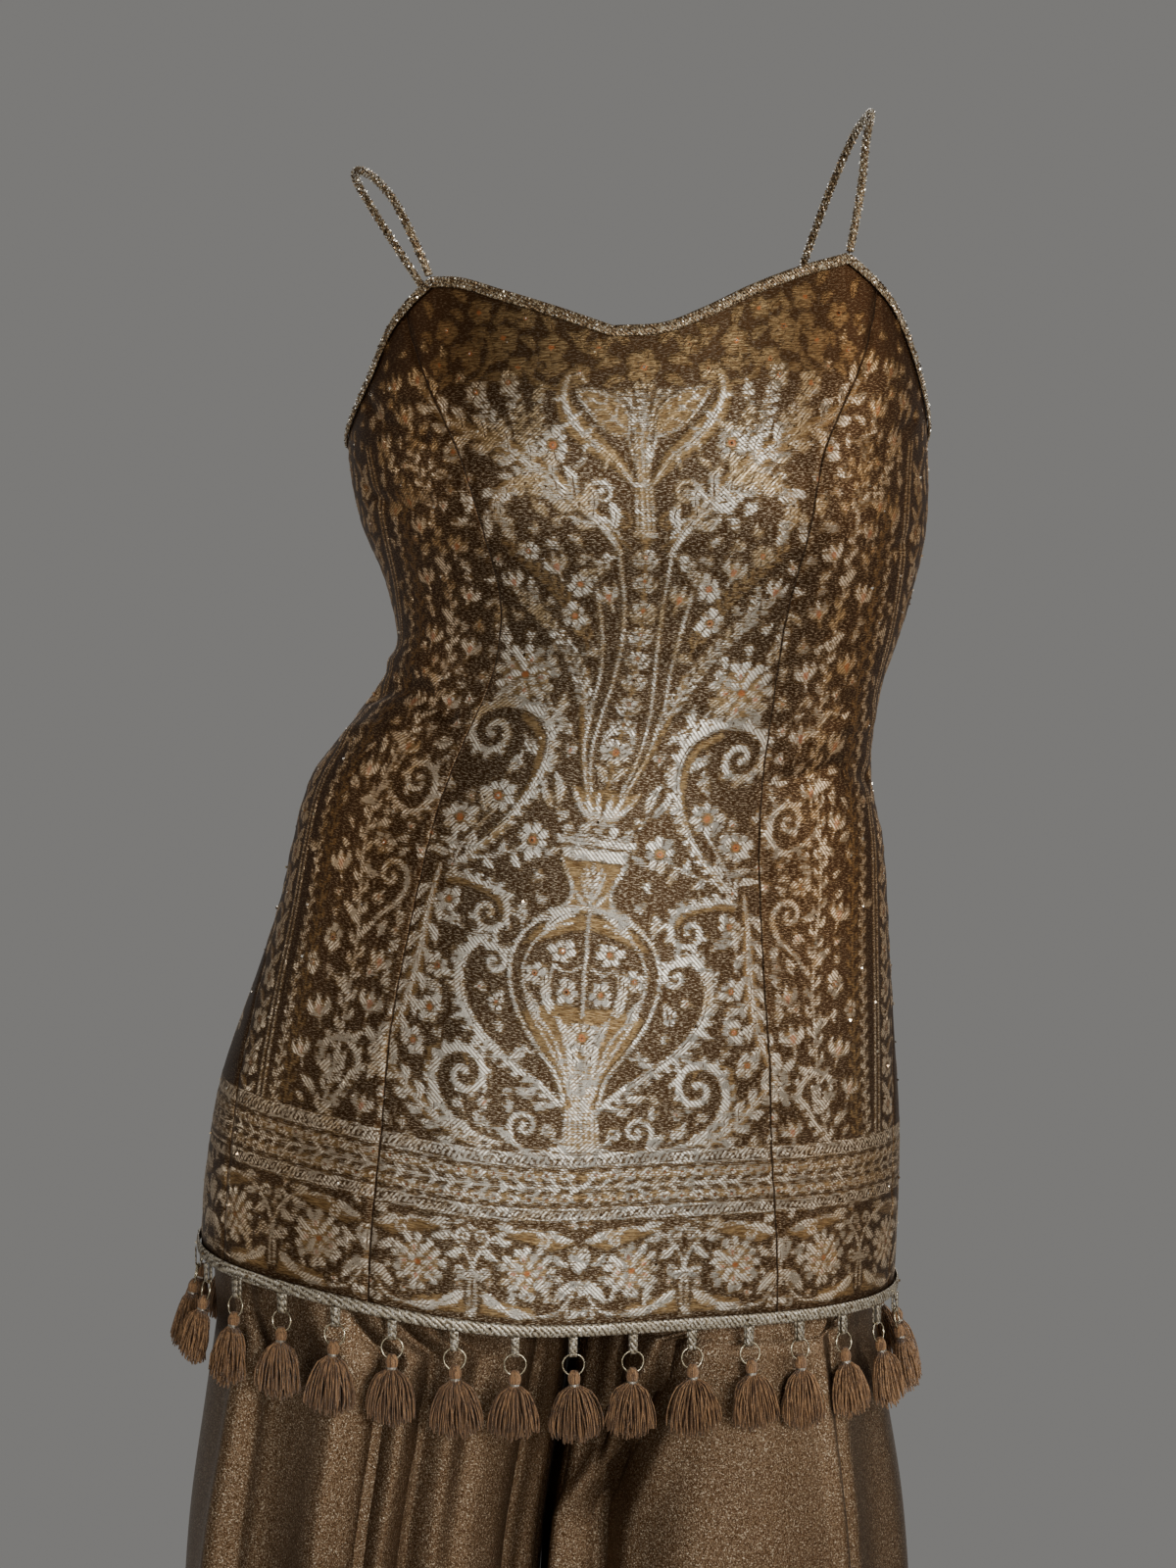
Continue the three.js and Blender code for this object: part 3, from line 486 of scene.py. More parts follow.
def makeLame(name, colours):
    # lame: bronze metal foil yarn over dark silk, woven plain; it glitters in specks and the folds
    # run from nearly black to pale bronze
    material, tree, shader = startMaterial(name, colours["body"])
    tones = {part: linear(code) for part, code in colours.items()}
    place = objectMillimetres(tree)
    grain = stretchedNoise(tree, place, (1.2, 1.2, 0.9), 2.0, 0.75)
    speck = stretchedNoise(tree, place, (1.1, 1.1, 1.1), 2.0, 0.8, offset=(5.0, 9.0, 2.0))
    cloud = stretchedNoise(tree, place, (0.012, 0.012, 0.006), 2.0)
    colour = mixColour(tree, rampBetween(tree, grain, 0.35, 0.68), tones["body"], tones["thread"])
    glitter = rampBetween(tree, speck, 0.54, 0.68)
    colour = mixColour(tree, glitter, colour, tones["speck"])
    colour = mixColour(tree, rampBetween(tree, cloud, 0.4, 0.75, 0.0, 0.3), colour, tones["shade"])
    feed(tree, shader, {"Base Color": colour, "Metallic": 0.9,
                        "Roughness": rampBetween(tree, glitter, 0.0, 1.0, 0.38, 0.3)})
    bumpFrom(tree, shader, speck, 0.0006, 0.7)
    return material


def makeMetal(name, colour, roughness, wear):
    # drawn wire or metallised thread: plain metal, a little duller where it is handled
    material, tree, shader = startMaterial(name, colour)
    dull = stretchedNoise(tree, objectMillimetres(tree), (0.5, 0.5, 0.5), 2.0)
    colours = mixColour(tree, rampBetween(tree, dull, 0.35, 0.7), linear(colour), linear(wear))
    feed(tree, shader, {"Base Color": colours, "Metallic": 1.0,
                        "Roughness": rampBetween(tree, dull, 0.3, 0.7, roughness, roughness + 0.14)})
    return material


def makeBeadGlass(name, colour, glint):
    # silver-lined glass beads: clear glass over foil, each with a hard glint
    material, tree, shader = startMaterial(name, colour)
    shade = stretchedNoise(tree, objectMillimetres(tree), (0.6, 0.6, 0.6), 1.0, 0.8)
    colours = mixColour(tree, rampBetween(tree, shade, 0.35, 0.65), linear(colour), linear(glint))
    feed(tree, shader, {"Base Color": colours, "Metallic": 0.85, "Roughness": 0.16, "Coat Weight": 0.6,
                        "Coat Roughness": 0.05})
    return material


def makeYarn(name, colours):
    # mercerised cotton floss: matt, with a soft edge glow and each strand a slightly different brown
    material, tree, shader = startMaterial(name, colours["body"])
    tones = {part: linear(code) for part, code in colours.items()}
    place = objectMillimetres(tree)
    strand = stretchedNoise(tree, place, (0.9, 0.9, 0.05), 1.0)
    ply = stretchedNoise(tree, place, (2.0, 2.0, 1.6), 1.0, offset=(3.0, 1.0, 0.0))
    colour = mixColour(tree, rampBetween(tree, strand, 0.3, 0.7), tones["shade"], tones["body"])
    colour = mixColour(tree, rampBetween(tree, ply, 0.5, 0.75, 0.0, 0.5), colour, tones["light"])
    feed(tree, shader, {"Base Color": colour, "Roughness": 0.82, "Sheen Weight": 0.12, "Sheen Roughness": 0.4})
    bumpFrom(tree, shader, ply, 0.0003, 0.7)
    return material


def makeTrimThread(name, colours, pitch):
    # zari cord and tape: metal yarn twisted round a core, so a slant runs along it; pitch is in mm,
    # drawn about three times as coarse as the real twist so that it shows
    material, tree, shader = startMaterial(name, colours["body"])
    tones = {part: linear(code) for part, code in colours.items()}
    place = objectMillimetres(tree)
    twist = addNode(tree, "ShaderNodeTexWave", {"wave_type": "BANDS", "bands_direction": "DIAGONAL",
        "Scale": math.pi / 5 / pitch, "Distortion": 1.5, "Detail": 1.0}, {"Vector": place})
    fleck = stretchedNoise(tree, place, (0.9, 0.9, 0.9), 2.0, 0.7)
    colour = mixColour(tree, twist.outputs[1], tones["shade"], tones["body"])
    colour = mixColour(tree, rampBetween(tree, fleck, 0.52, 0.66), colour, tones["light"])
    feed(tree, shader, {"Base Color": colour, "Metallic": 0.65, "Roughness": 0.4})
    bumpFrom(tree, shader, twist.outputs[1], 0.0003, 0.6)
    return material


brocadeColours = {"ground": "#3b2712", "groundGlint": "#9a8c76", "gold": "#a2875e", "goldShade": "#664b2b",
                  "brightGold": "#cbb38c", "silver": "#f6efdf", "copper": "#b0683a"}
lameColours = {"body": "#442c15", "thread": "#7a634a", "speck": "#bfae94", "shade": "#2c1a0a"}
yarnColours = {"body": "#98714a", "shade": "#523720", "light": "#cdab84"}
trimColours = {"body": "#7d6444", "shade": "#3c2a17", "light": "#cdbb99"}
silkBrocade = makeBrocade("silkBrocade", brocadeColours)
brocadeWrongSide = makeClothBack("brocadeWrongSide", "#33241a")
foilLame = makeLame("foilLame", lameColours)
cottonFloss = makeYarn("cottonFloss", yarnColours)
zariTrim = makeTrimThread("zariTrim", trimColours, 2.4)
silverCord = makeTrimThread("silverCord", {"body": "#b3a68d", "shade": "#54452f", "light": "#eee7d8"}, 3.6)
silverThread = makeMetal("silverThread", "#c9c3b6", 0.3, "#9c9282")
paleGoldWire = makeMetal("paleGoldWire", "#cfc4a8", 0.18, "#a89a7c")
silverBeads = makeBeadGlass("silverBeads", "#d2bf9c", "#fbf6ea")
smokeBeads = makeBeadGlass("smokeBeads", "#3d2a16", "#a1855f")
print("materials are made")


# The woven pattern: strokes and shapes in cloth millimetres, across from the front middle and level
frontPattern = []
bandPattern = []
backPattern = []


def drawLine(board, ink, points, widths, mirror=True):
    points = np.asarray(points, float)
    widths = np.full(len(points), widths, float) if np.isscalar(widths) else np.asarray(widths, float)
    curve = smoothCurve(np.column_stack([points, widths]), 6)
    board.append((ink, "line", curve))
    if mirror:
        board.append((ink, "line", curve * np.array([-1.0, 1.0, 1.0])))


def drawTooth(board, at, tip, widths=(1.0, 2.6, 0.5)):
    # a short pointed leaflet on the back of a scroll
    drawLine(board, "silverLine", [at, ((at[0] + tip[0]) / 2, (at[1] + tip[1]) / 2), tip], widths)


def ringPoints(centre, radius, angles):
    return np.stack([centre[0] + radius * np.cos(angles), centre[1] + radius * np.sin(angles)], -1)


def drawShape(board, ink, outline, mirror=True, cut=False):
    outline = np.asarray(outline, float)
    board.append((ink, "cut" if cut else "shape", outline))
    if mirror:
        board.append((ink, "cut" if cut else "shape", outline * np.array([-1.0, 1.0])))


def lineDistance(x, y, curve):
    ax, ay, bx, by = curve[:-1, 0], curve[:-1, 1], curve[1:, 0], curve[1:, 1]
    dx, dy = bx - ax, by - ay
    t = ((x[:, None] - ax) * dx + (y[:, None] - ay) * dy) / np.maximum(dx * dx + dy * dy, 1e-9)
    t = np.clip(t, 0, 1)
    distance = np.hypot(x[:, None] - ax - t * dx, y[:, None] - ay - t * dy)
    if curve.shape[1] > 2:
        distance = distance - 0.5 * (curve[:-1, 2] + t * (curve[1:, 2] - curve[:-1, 2]))
    return distance.min(axis=1)


def shapeDistance(x, y, outline):
    closed = np.vstack([outline, outline[:1]])
    distance = lineDistance(x, y, closed)
    ay, by = closed[:-1, 1], closed[1:, 1]
    crosses = (ay[None, :] > y[:, None]) != (by[None, :] > y[:, None])
    slope = (closed[1:, 0] - closed[:-1, 0]) / np.where(by == ay, 1e-9, by - ay)
    atX = closed[:-1, 0] + (y[:, None] - ay) * slope
    inside = (crosses & (x[:, None] < atX)).sum(axis=1) % 2 == 1
    return np.where(inside, -distance, distance)


inkSetup = {"inks": ("silverLine", "goldFill", "copperEye", "darkLine"), "far": 6.0, "reach": 3.0}


def inkFields(across, level, board):
    # distance in mm from each point to the nearest edge of every ink, minus inside a stroke or shape
    fields = {ink: np.full(across.shape, inkSetup["far"]) for ink in inkSetup["inks"]}
    order = np.argsort(level)
    sortedLevel = level[order]
    left, right = across.min() - inkSetup["reach"], across.max() + inkSetup["reach"]
    for ink, kind, curve in board:
        reach = inkSetup["reach"] + (curve[:, 2].max() / 2 if kind == "line" else 0.0)
        x0, x1 = curve[:, 0].min() - reach, curve[:, 0].max() + reach
        if x1 < left or x0 > right:
            continue
        low, high = np.searchsorted(sortedLevel, [curve[:, 1].min() - reach, curve[:, 1].max() + reach])
        near = order[low:high]
        near = near[(across[near] > x0) & (across[near] < x1)]
        if len(near) == 0:
            continue
        if kind == "line":
            distance = lineDistance(across[near], level[near], curve)
        else:
            distance = shapeDistance(across[near], level[near], curve)
        if kind == "cut":
            fields[ink][near] = np.maximum(fields[ink][near], -distance)
        else:
            fields[ink][near] = np.minimum(fields[ink][near], distance)
    return fields


def curl(centre, radius, start, turns, inner=0.12, count=26):
    # points of a spiral from its outside to its eye; negative turns run clockwise
    t = np.linspace(0, 1, count)
    angle = np.radians(start + 360 * turns * t)
    r = radius * (1 - (1 - inner) * t ** 0.85)
    return ringPoints(centre, r, angle)


def drawScroll(board, ink, lead, centre, radius, start, turns, widths, mirror=True, eye=1.0):
    # a stem that runs into a spiral: widths at the foot, at the shoulder and at the eye
    spiral = curl(centre, radius, start, turns)
    path = np.vstack([smoothCurve(np.vstack([lead, spiral[:1]]), 6)[:-1], spiral]) if len(lead) else spiral
    t = np.linspace(0, 1, len(path))
    width = np.interp(t, [0, 0.4, 1], widths)
    curve = np.column_stack([path, width])
    if max(widths) > 3.4 and ink == "silverLine":
        # leaf teeth along the outer side, and dark nicks across the stroke
        length = lengthAlong(path)
        for k, at in enumerate(np.arange(5.0, length[-1] * 0.86, 6.5)):
            here = pointAt(at, length, path)
            ahead = pointAt(at + 1, length, path) - here
            out = np.array([ahead[1], -ahead[0]]) * (-1 if turns < 0 else 1)
            reach = 0.5 * float(np.interp(at / length[-1], [0, 0.4, 1], widths)) + 2.6
            drawLine(board, ink, [here, here + out * reach * 0.7 - ahead * 0.5, here + out * reach + ahead * 1.6],
                [2.4, 2.4, 0.4], mirror)
            if k % 2:
                drawLine(board, "darkLine", [here - out * 0.8, here + out * 1.2], 0.8, mirror)
    for sign in ((1, -1) if mirror else (1,)):
        board.append((ink, "line", curve * np.array([sign, 1.0, 1.0])))
        if eye:
            at = spiral[-1] * np.array([sign, 1.0])
            drawLine(board, ink, [at - [0.1, 0], at + [0.1, 0]], 2.4 * eye, mirror=False)
    return path


def drawLeaf(board, base, tip, width, bend=0.0, style="silver", mirror=True):
    # a pointed leaf with a dark midrib; the gold kind has a silver edge
    base, tip = np.asarray(base, float), np.asarray(tip, float)
    along = tip - base
    side = np.array([-along[1], along[0]]) / max(np.linalg.norm(along), 1e-6)
    t = np.linspace(0, 1, 11)
    half = width / 2 * np.sin(np.pi * t ** 0.8) ** 0.75
    spine = base + along * t[:, None] + side * (bend * np.sin(np.pi * t))[:, None]
    outline = np.vstack([spine + side * half[:, None], (spine - side * half[:, None])[::-1]])
    if style == "silver":
        drawShape(board, "silverLine", outline, mirror)
        drawLine(board, "darkLine", spine[1:-2], 0.7, mirror)
    elif style == "quiet":
        drawShape(board, "goldFill", outline, mirror)
        drawLine(board, "darkLine", spine[1:-2], 0.9, mirror)
    elif style == "gold":
        drawShape(board, "goldFill", outline, mirror)
        drawLine(board, "silverLine", spine[:-1], 0.9, mirror)
    else:
        drawShape(board, "goldFill", outline, mirror)
        drawLine(board, "silverLine", outline, 1.2, mirror)
        drawLine(board, "silverLine", spine[1:-2], 0.9, mirror)
        for k in (3, 5, 7):
            for turn in (1, -1):
                drawLine(board, "silverLine", [spine[k], spine[k + 1] + side * half[k + 1] * 0.75 * turn], 0.7,
                    mirror)


def drawFlower(board, centre, radius, petals=6, turn=0.0, mirror=True):
    # deeply lobed petals in silver, a gold heart and a copper eye
    cx, cy = centre
    petals = petals + 1 if radius > 7.5 else petals
    angle = np.linspace(0, 2 * np.pi, petals * 6, endpoint=False)
    lobe = radius * (0.58 + 0.42 * np.abs(np.cos(petals * (angle - turn) / 2)) ** 0.6)
    lobe = lobe * (1 + 0.14 * np.cos(angle * 2 + cx) + 0.08 * np.cos(angle * 3 + cy))
    drawShape(board, "silverLine", ringPoints(centre, lobe, angle), mirror)
    for k in range(petals):
        a = turn + 2 * np.pi * k / petals
        gap = a + np.pi / petals
        drawLine(board, "darkLine", ringPoints(centre, np.array([0.42, 0.9]) * radius, gap), 0.9, mirror)
        if k % 2 == 0 and radius > 5:
            middle = np.array([cx + 0.66 * radius * math.cos(a), cy + 0.66 * radius * math.sin(a)])
            drawLine(board, "darkLine", [middle, middle + [0.3, 0.2]], 0.09 * radius, mirror)
    ring = np.linspace(0, 2 * np.pi, 10, endpoint=False)
    heart = ringPoints(centre, 0.4 * radius, ring)
    drawShape(board, "silverLine", heart, mirror, cut=True)
    drawShape(board, "goldFill", heart, mirror)
    drawShape(board, "copperEye", ringPoints(centre, 0.2 * radius, ring), mirror)
    drawLine(board, "silverLine", [(cx - 0.1, cy), (cx + 0.1, cy)], 0.12 * radius, mirror)


def drawBud(board, base, tip, width, mirror=True):
    # a flower seen from the side: three petals fanning from a copper cup
    base, tip = np.asarray(base, float), np.asarray(tip, float)
    along = tip - base
    side = np.array([-along[1], along[0]]) / np.linalg.norm(along)
    for fan in (-1, 0, 1):
        end = tip + side * fan * width * 0.5 - along * 0.12 * abs(fan)
        middle = base + (end - base) * 0.55 + side * fan * width * 0.18
        drawLine(board, "silverLine", [base + along * 0.15, middle, end], [0.8, width * 0.34, 0.5], mirror)
    drawLine(board, "goldFill", [base, base + along * 0.5], [1.5, width * 0.7], mirror)
    drawLine(board, "copperEye", [base + along * 0.22, base + along * 0.45], [0.9, width * 0.3], mirror)
    drawLine(board, "silverLine", [base - along * 0.25, base + along * 0.2], 0.9, mirror)


def drawQuiet(board, shapes):
    # low-contrast foliage in old gold: flowers (x, level, radius) and leaves (x0, level0, x1, level1, width)
    for shape in shapes:
        mirror = shape[0] > 0
        if len(shape) == 3:
            x, level, size = shape
            angle = np.linspace(0, 2 * np.pi, 36, endpoint=False)
            lobe = size * (0.66 + 0.34 * np.abs(np.cos(2.5 * angle + x)) ** 0.7) * (1 + 0.12 * np.cos(angle + level))
            drawShape(board, "goldFill", ringPoints((x, level), lobe, angle), mirror)
            drawShape(board, "copperEye", np.array([x, level]) + 0.2 * size * np.array([(1, 0), (0, 1), (-1, 0),
                (0, -1)]), mirror)
            for a in angle[::7]:
                drawLine(board, "darkLine", ringPoints((x, level), np.array([0.35, 0.75]) * size, a), 0.9, mirror)
        else:
            x0, level0, x1, level1, width = shape
            drawLeaf(board, (x0, level0), (x1, level1), width, 1.5, "quiet", mirror)


def fillGaps(board, box, spacing, bare, mirror=True):
    # small sprigs, buds and leaves wherever the drawing leaves more ground bare than the cloth does
    x0, x1, low, high = box
    count = int((x1 - x0) * (high - low) / spacing ** 2 * 6)
    x, level = chance.uniform(x0, x1, count), chance.uniform(low, high, count)
    fields = inkFields(x, level, board)
    free = (fields["silverLine"] > bare) & (fields["goldFill"] > bare * 0.5)
    placed = []
    for px, py in zip(x[free], level[free]):
        if any((px - qx) ** 2 + (py - qy) ** 2 < spacing ** 2 for qx, qy in placed):
            continue
        placed.append((px, py))
        turn = chance.uniform(0, 2 * math.pi)
        reach = bare * chance.uniform(0.75, 1.1)
        ahead = np.array([math.cos(turn), math.sin(turn)]) * reach
        here = np.array([px, py])
        kind = len(placed) % 4
        if kind == 0:
            drawBud(board, here - ahead * 0.4, here + ahead * 0.7, reach * 0.9, mirror)
        elif kind == 1:
            drawSprig(board, [here - ahead, here - ahead * 0.1 + ahead[::-1] * 0.2, here + ahead * 0.6],
                reach * 0.75, 2.3, reach * 0.6, 1.1, "silverLine", mirror)
        elif kind == 2:
            drawLeaf(board, here - ahead * 0.8, here + ahead * 0.8, reach * 0.62, reach * 0.15, "silver", mirror)
            drawLeaf(board, here - ahead * 0.7, here + ahead[::-1] * 0.7, reach * 0.5, 0.8, "gold", mirror)
        else:
            drawScroll(board, "silverLine", [here - ahead], here + ahead * 0.1, reach * 0.5, math.degrees(turn) + 90,
                1.1, (0.9, 1.5, 1.0), mirror, 0.6)


def drawPeony(board, centre, radius, mirror=True):
    # a rosette: three rings of short blunt lobes, gold between them, copper hearts
    cx, cy = centre
    turn = np.linspace(0, 2 * np.pi, 20, endpoint=False)
    drawShape(board, "goldFill", ringPoints(centre, 0.8 * radius, turn), mirror)
    for near, far, count, offset in ((0.84, 0.98, 13, 0.1), (0.54, 0.68, 9, 0.45), (0.24, 0.38, 5, 0.0)):
        for k in range(count):
            a = offset + 2 * np.pi * k / count + 0.07 * math.sin(3.0 * k)
            heading = np.array([math.cos(a), math.sin(a)])
            reach = far * radius * (1 + 0.08 * math.sin(5.0 * k + cx))
            wide = 2 * np.pi * (near + far) / 2 * radius / count * 0.66
            start = np.array([cx, cy]) + heading * near * radius
            end = np.array([cx, cy]) + heading * reach
            drawLine(board, "silverLine", [start, start * 0.4 + end * 0.6, end], [wide * 0.7, wide, wide * 0.8],
                mirror)
            if count == 9 and k % 2 == 0:
                drawLine(board, "copperEye", [start - heading * 0.5, start + heading * 0.8], 1.6, mirror)
    drawLine(board, "copperEye", [(cx - 0.2, cy), (cx + 0.2, cy)], 0.2 * radius, mirror)


def drawSprig(board, points, leafLength, leafWidth, gap, stem=1.1, style="silverLine", mirror=True, sides=(1, -1),
        end=True):
    # a stem with small tapered leaves set along it by turns
    curve = smoothCurve(np.asarray(points, float), 10)
    length = lengthAlong(curve)
    drawLine(board, style, np.asarray(points, float), np.linspace(stem, stem * 0.7, len(points)), mirror)
    at = gap * 0.8
    k = 0
    while at < length[-1]:
        place = pointAt(at, length, curve)
        along = pointAt(at + 1, length, curve) - pointAt(at - 1, length, curve)
        along = along / max(np.linalg.norm(along), 1e-6)
        side = np.array([-along[1], along[0]]) * sides[k % len(sides)]
        reach = leafLength * (1.0 - 0.35 * at / length[-1])
        middle = place + (along * 0.42 + side * 0.5) * reach
        tip = place + (along + side * 0.66) * reach
        drawLine(board, style, [place, middle, (middle + tip) / 2, tip], [0.6, leafWidth, leafWidth * 0.72, 0.2],
            mirror)
        if leafWidth > 4:
            drawLine(board, "darkLine", [place, middle, (middle + tip) / 2], 0.8, mirror)
        at += gap / len(sides)
        k += 1
    if end:
        tip = curve[-1]
        along = (curve[-1] - curve[-3]) / max(np.linalg.norm(curve[-1] - curve[-3]), 1e-6)
        drawLine(board, style, [tip, tip + along * leafLength * 0.5, tip + along * leafLength],
            [0.6, leafWidth * 1.15, 0.4], mirror)


def drawAcanthus(board, points, leafLength, leafWidth, gap, mirror=True):
    # a thick hatched frond: a silver rib over gold, with curling leaflets down both sides
    points = np.asarray(points, float)
    spread = np.interp(np.linspace(0, 1, len(points)), [0, 0.45, 1], [0.25, 1.0, 0.3])
    drawLine(board, "goldFill", points, leafLength * 0.7 * spread, mirror)
    drawLine(board, "silverLine", points, np.interp(np.linspace(0, 1, len(points)), [0, 0.4, 1], [1.2, 3.2, 1.0]),
        mirror)
    drawLine(board, "darkLine", points[:-1], 0.6, mirror)
    drawSprig(board, points, leafLength, leafWidth, gap, 1.2, "silverLine", mirror)


def pens(board, *kinds):
    # drawing functions with their board in hand
    return [partial(kind, board) for kind in kinds]


def each(pen, rows):
    for row in rows:
        pen(*row)


# The big vase of the front, from the foot up; every stroke has its twin across the middle
def drawVase(board):
    line, shape, leaf, flower, scroll, tooth = pens(board, drawLine, drawShape, drawLeaf, drawFlower, drawScroll,
        drawTooth)
    gold, silver, dark = "goldFill", "silverLine", "darkLine"
    # foot and base plate
    each(shape, [(silver, [(0, -537.5), (18, -537.5), (17, -533), (11, -531.5), (0, -531.5)]),
        (gold, [(0, -532), (9.5, -532), (8.5, -514), (15, -495), (0, -495)])])
    for x0, x1 in ((0, 0), (3.2, 3), (6.3, 6), (9.3, 8.6)):
        line(silver, [(x0, -532), (x1, -520), (x1 * 0.95, -512)], 1.5)
    for level in (-512.5, -515.5, -528.5):
        line(silver, [(-9.2, level), (9.2, level)], 1.1, mirror=False)
    scroll(silver, [(10, -530.5)], (18.5, -525), 4.4, 230, -1.2, (1.2, 1.6, 1.4), eye=0.8)
    # waisted cup where the handles meet: reeds that open upward
    for tip in ((3.5, -486), (8.5, -480), (14, -476)):
        line(silver, [(tip[0] * 0.25, -511), (tip[0] * 0.55, -498), tip], [1, 2.6, 0.8])
    line(silver, [(0, -511), (0, -486)], [1, 2.2], mirror=False)
    # belly
    belly = [(8, -407), (16, -409.5), (27, -414), (36, -423), (40.5, -436), (39.5, -450), (34, -465), (25, -479),
        (14, -494), (9, -510)]
    each(shape, [(gold, [(0, -458), (20, -456), (33, -462), (25, -479), (14, -494), (9, -510), (0, -512)]),
        (gold, [(0, -408), (14, -410), (26, -416), (35, -427), (24, -424), (12, -419), (0, -416)])])
    line(silver, belly, [1.2, 1.4, 1.6, 1.8, 1.8, 1.7, 1.7, 1.7, 1.8, 1.6])
    inner = [(9, -413), (19, -417), (28, -425), (33, -437), (32, -450), (27, -464), (19, -477), (11, -491)]
    each(line, [(silver, inner, 1), (dark, [(x - 1.9, y) for x, y in belly[2:]], 0.8)])
    line(silver, [(0, -404), (0, -462)], 1.6, mirror=False)
    each(flower, [((12.8, -428.5), 7, 6, 0.2), ((27, -441.5), 5.8, 5, 0.6), ((9.2, -450), 6.6, 6, 0.1)])
    each(leaf, [((18, -462), (21, -437), 5, -1.5), ((24, -466), (30.5, -452), 4, 1)])
    line(silver, [(2.5, -436), (10, -439.5), (17, -437), (18.5, -450), (16, -459)], 1)
    # calyx flower with its cup of leaves
    flower((0, -473.5), 9.6, 8, 0, mirror=False)
    each(leaf, [((4, -489), (14.5, -463), 6, 2), ((10, -489), (25.5, -463), 6.5, 2.5, "gold"),
        ((2, -491), (6.5, -480), 3.6, 1)])
    # shoulder leaves and neck
    leaf((5, -406), (24, -420), 5, 2.5)
    line(silver, [(0, -406), (8, -405.5), (20, -409), (30, -414.5)], [1.2, 2.6, 2.2, 1])
    neck = [(17.5, -380), (14.5, -386), (11.2, -393), (10.6, -399), (14, -404.5), (21, -408.5)]
    shape(gold, [(0, -380)] + neck + [(0, -408)])
    line(silver, neck, [1.6, 1.8, 1.8, 1.8, 2, 2.2])
    line(silver, [(0, -382.5), (0, -404)], 1.3, mirror=False)
    for base, tip in (((0.5, -402), (6.5, -386)), ((0.5, -395), (4.2, -383.5)), ((1, -405), (9, -396))):
        line(silver, [base, ((base[0] + tip[0]) / 2 + 0.6, (base[1] + tip[1]) / 2), tip], [0.8, 2, 0.6])
    flower((0, -388), 3.6, 5, 0.3, mirror=False)
    # rim: bead row, bar and small scrolls
    shape(silver, [(0, -373.6), (18.5, -373.6), (17.2, -379.4), (0, -379.4)])
    for k in range(8):
        line(dark, [(1.2 + 2.35 * k, -376.5), (1.3 + 2.35 * k, -376.5)], 1.1)
    shape(silver, [(0, -368), (21.5, -368), (21, -371.6), (0, -371.6)])
    line(dark, [(-19, -369.8), (19, -369.8)], 0.7, mirror=False)
    scroll(silver, [(2.5, -366.8)], (7.2, -363.3), 3.4, 240, 1.3, (1, 1.2, 1.2), eye=0.7)
    scroll(silver, [(10.5, -366.8)], (16, -363.6), 3.2, 240, 1.3, (1, 1.2, 1.2), eye=0.7)
    line(silver, [(-1.2, -363.5), (1.2, -363.5)], 2.6, mirror=False)
    # cup of acanthus above the rim
    shape(gold, [(0, -359.5), (8, -359.5), (12, -354), (17.5, -347.5), (18.5, -341), (9, -344), (0, -341)])
    for base, tip, bend in (((2, -359.5), (18, -342.5), 1.5), ((1, -359), (10.5, -344), 1),
            ((0.5, -358), (3.6, -345), 0.6)):
        line(silver, [base, ((base[0] + tip[0]) / 2 + bend, (base[1] + tip[1]) / 2 - bend), tip], [1, 2.8, 0.9])
    line(silver, [(-7, -360), (7, -360)], 1.6, mirror=False)
    # handles: a heavy reversed scroll to each side
    scroll(silver, [(10, -511), (22, -500.5), (38, -490), (53, -478), (64, -464), (68.5, -449), (66, -436),
        (58, -427.5)], (49.5, -438), 8.6, 65, 1.15, (2.6, 5.4, 1.8))
    line(dark, [(24, -498.5), (39, -488), (54, -476), (64, -462), (67.5, -449), (65, -437.5)], 0.8)
    for at, tip in (((52, -478), (59, -484)), ((63, -466), (71.5, -470)), ((68, -452), (75, -452)),
            ((66.5, -438), (73, -434)), ((58, -429), (62, -422.5))):
        tooth(at, tip)
    leaf((44, -452), (46, -463), 4, 1)
    flower((47, -459), 4.6, 5, 0.4)
    # lower scrolls
    scroll(silver, [(44, -533), (60, -528), (73, -518.5), (80.5, -505)], (63.5, -498), 17.6, -12, 1.35,
        (1.6, 4.8, 3), eye=1.6)
    scroll(gold, [(50, -533), (66, -526), (78, -515), (84.5, -501), (82, -489)], (66, -497), 19.5, 28, 0.4,
        (1, 3, 1), eye=0)
    scroll(silver, [(19, -535), (30, -535.5), (37, -531)], (30.5, -522.5), 9.2, -40, 1.25, (1, 2.8, 1.6), eye=1.2)
    each(leaf, [((37, -532), (47, -524), 4.6, 1), ((24, -504), (36, -503), 4.4, -1.5),
        ((37, -503.5), (43, -507), 3, 0.5)])


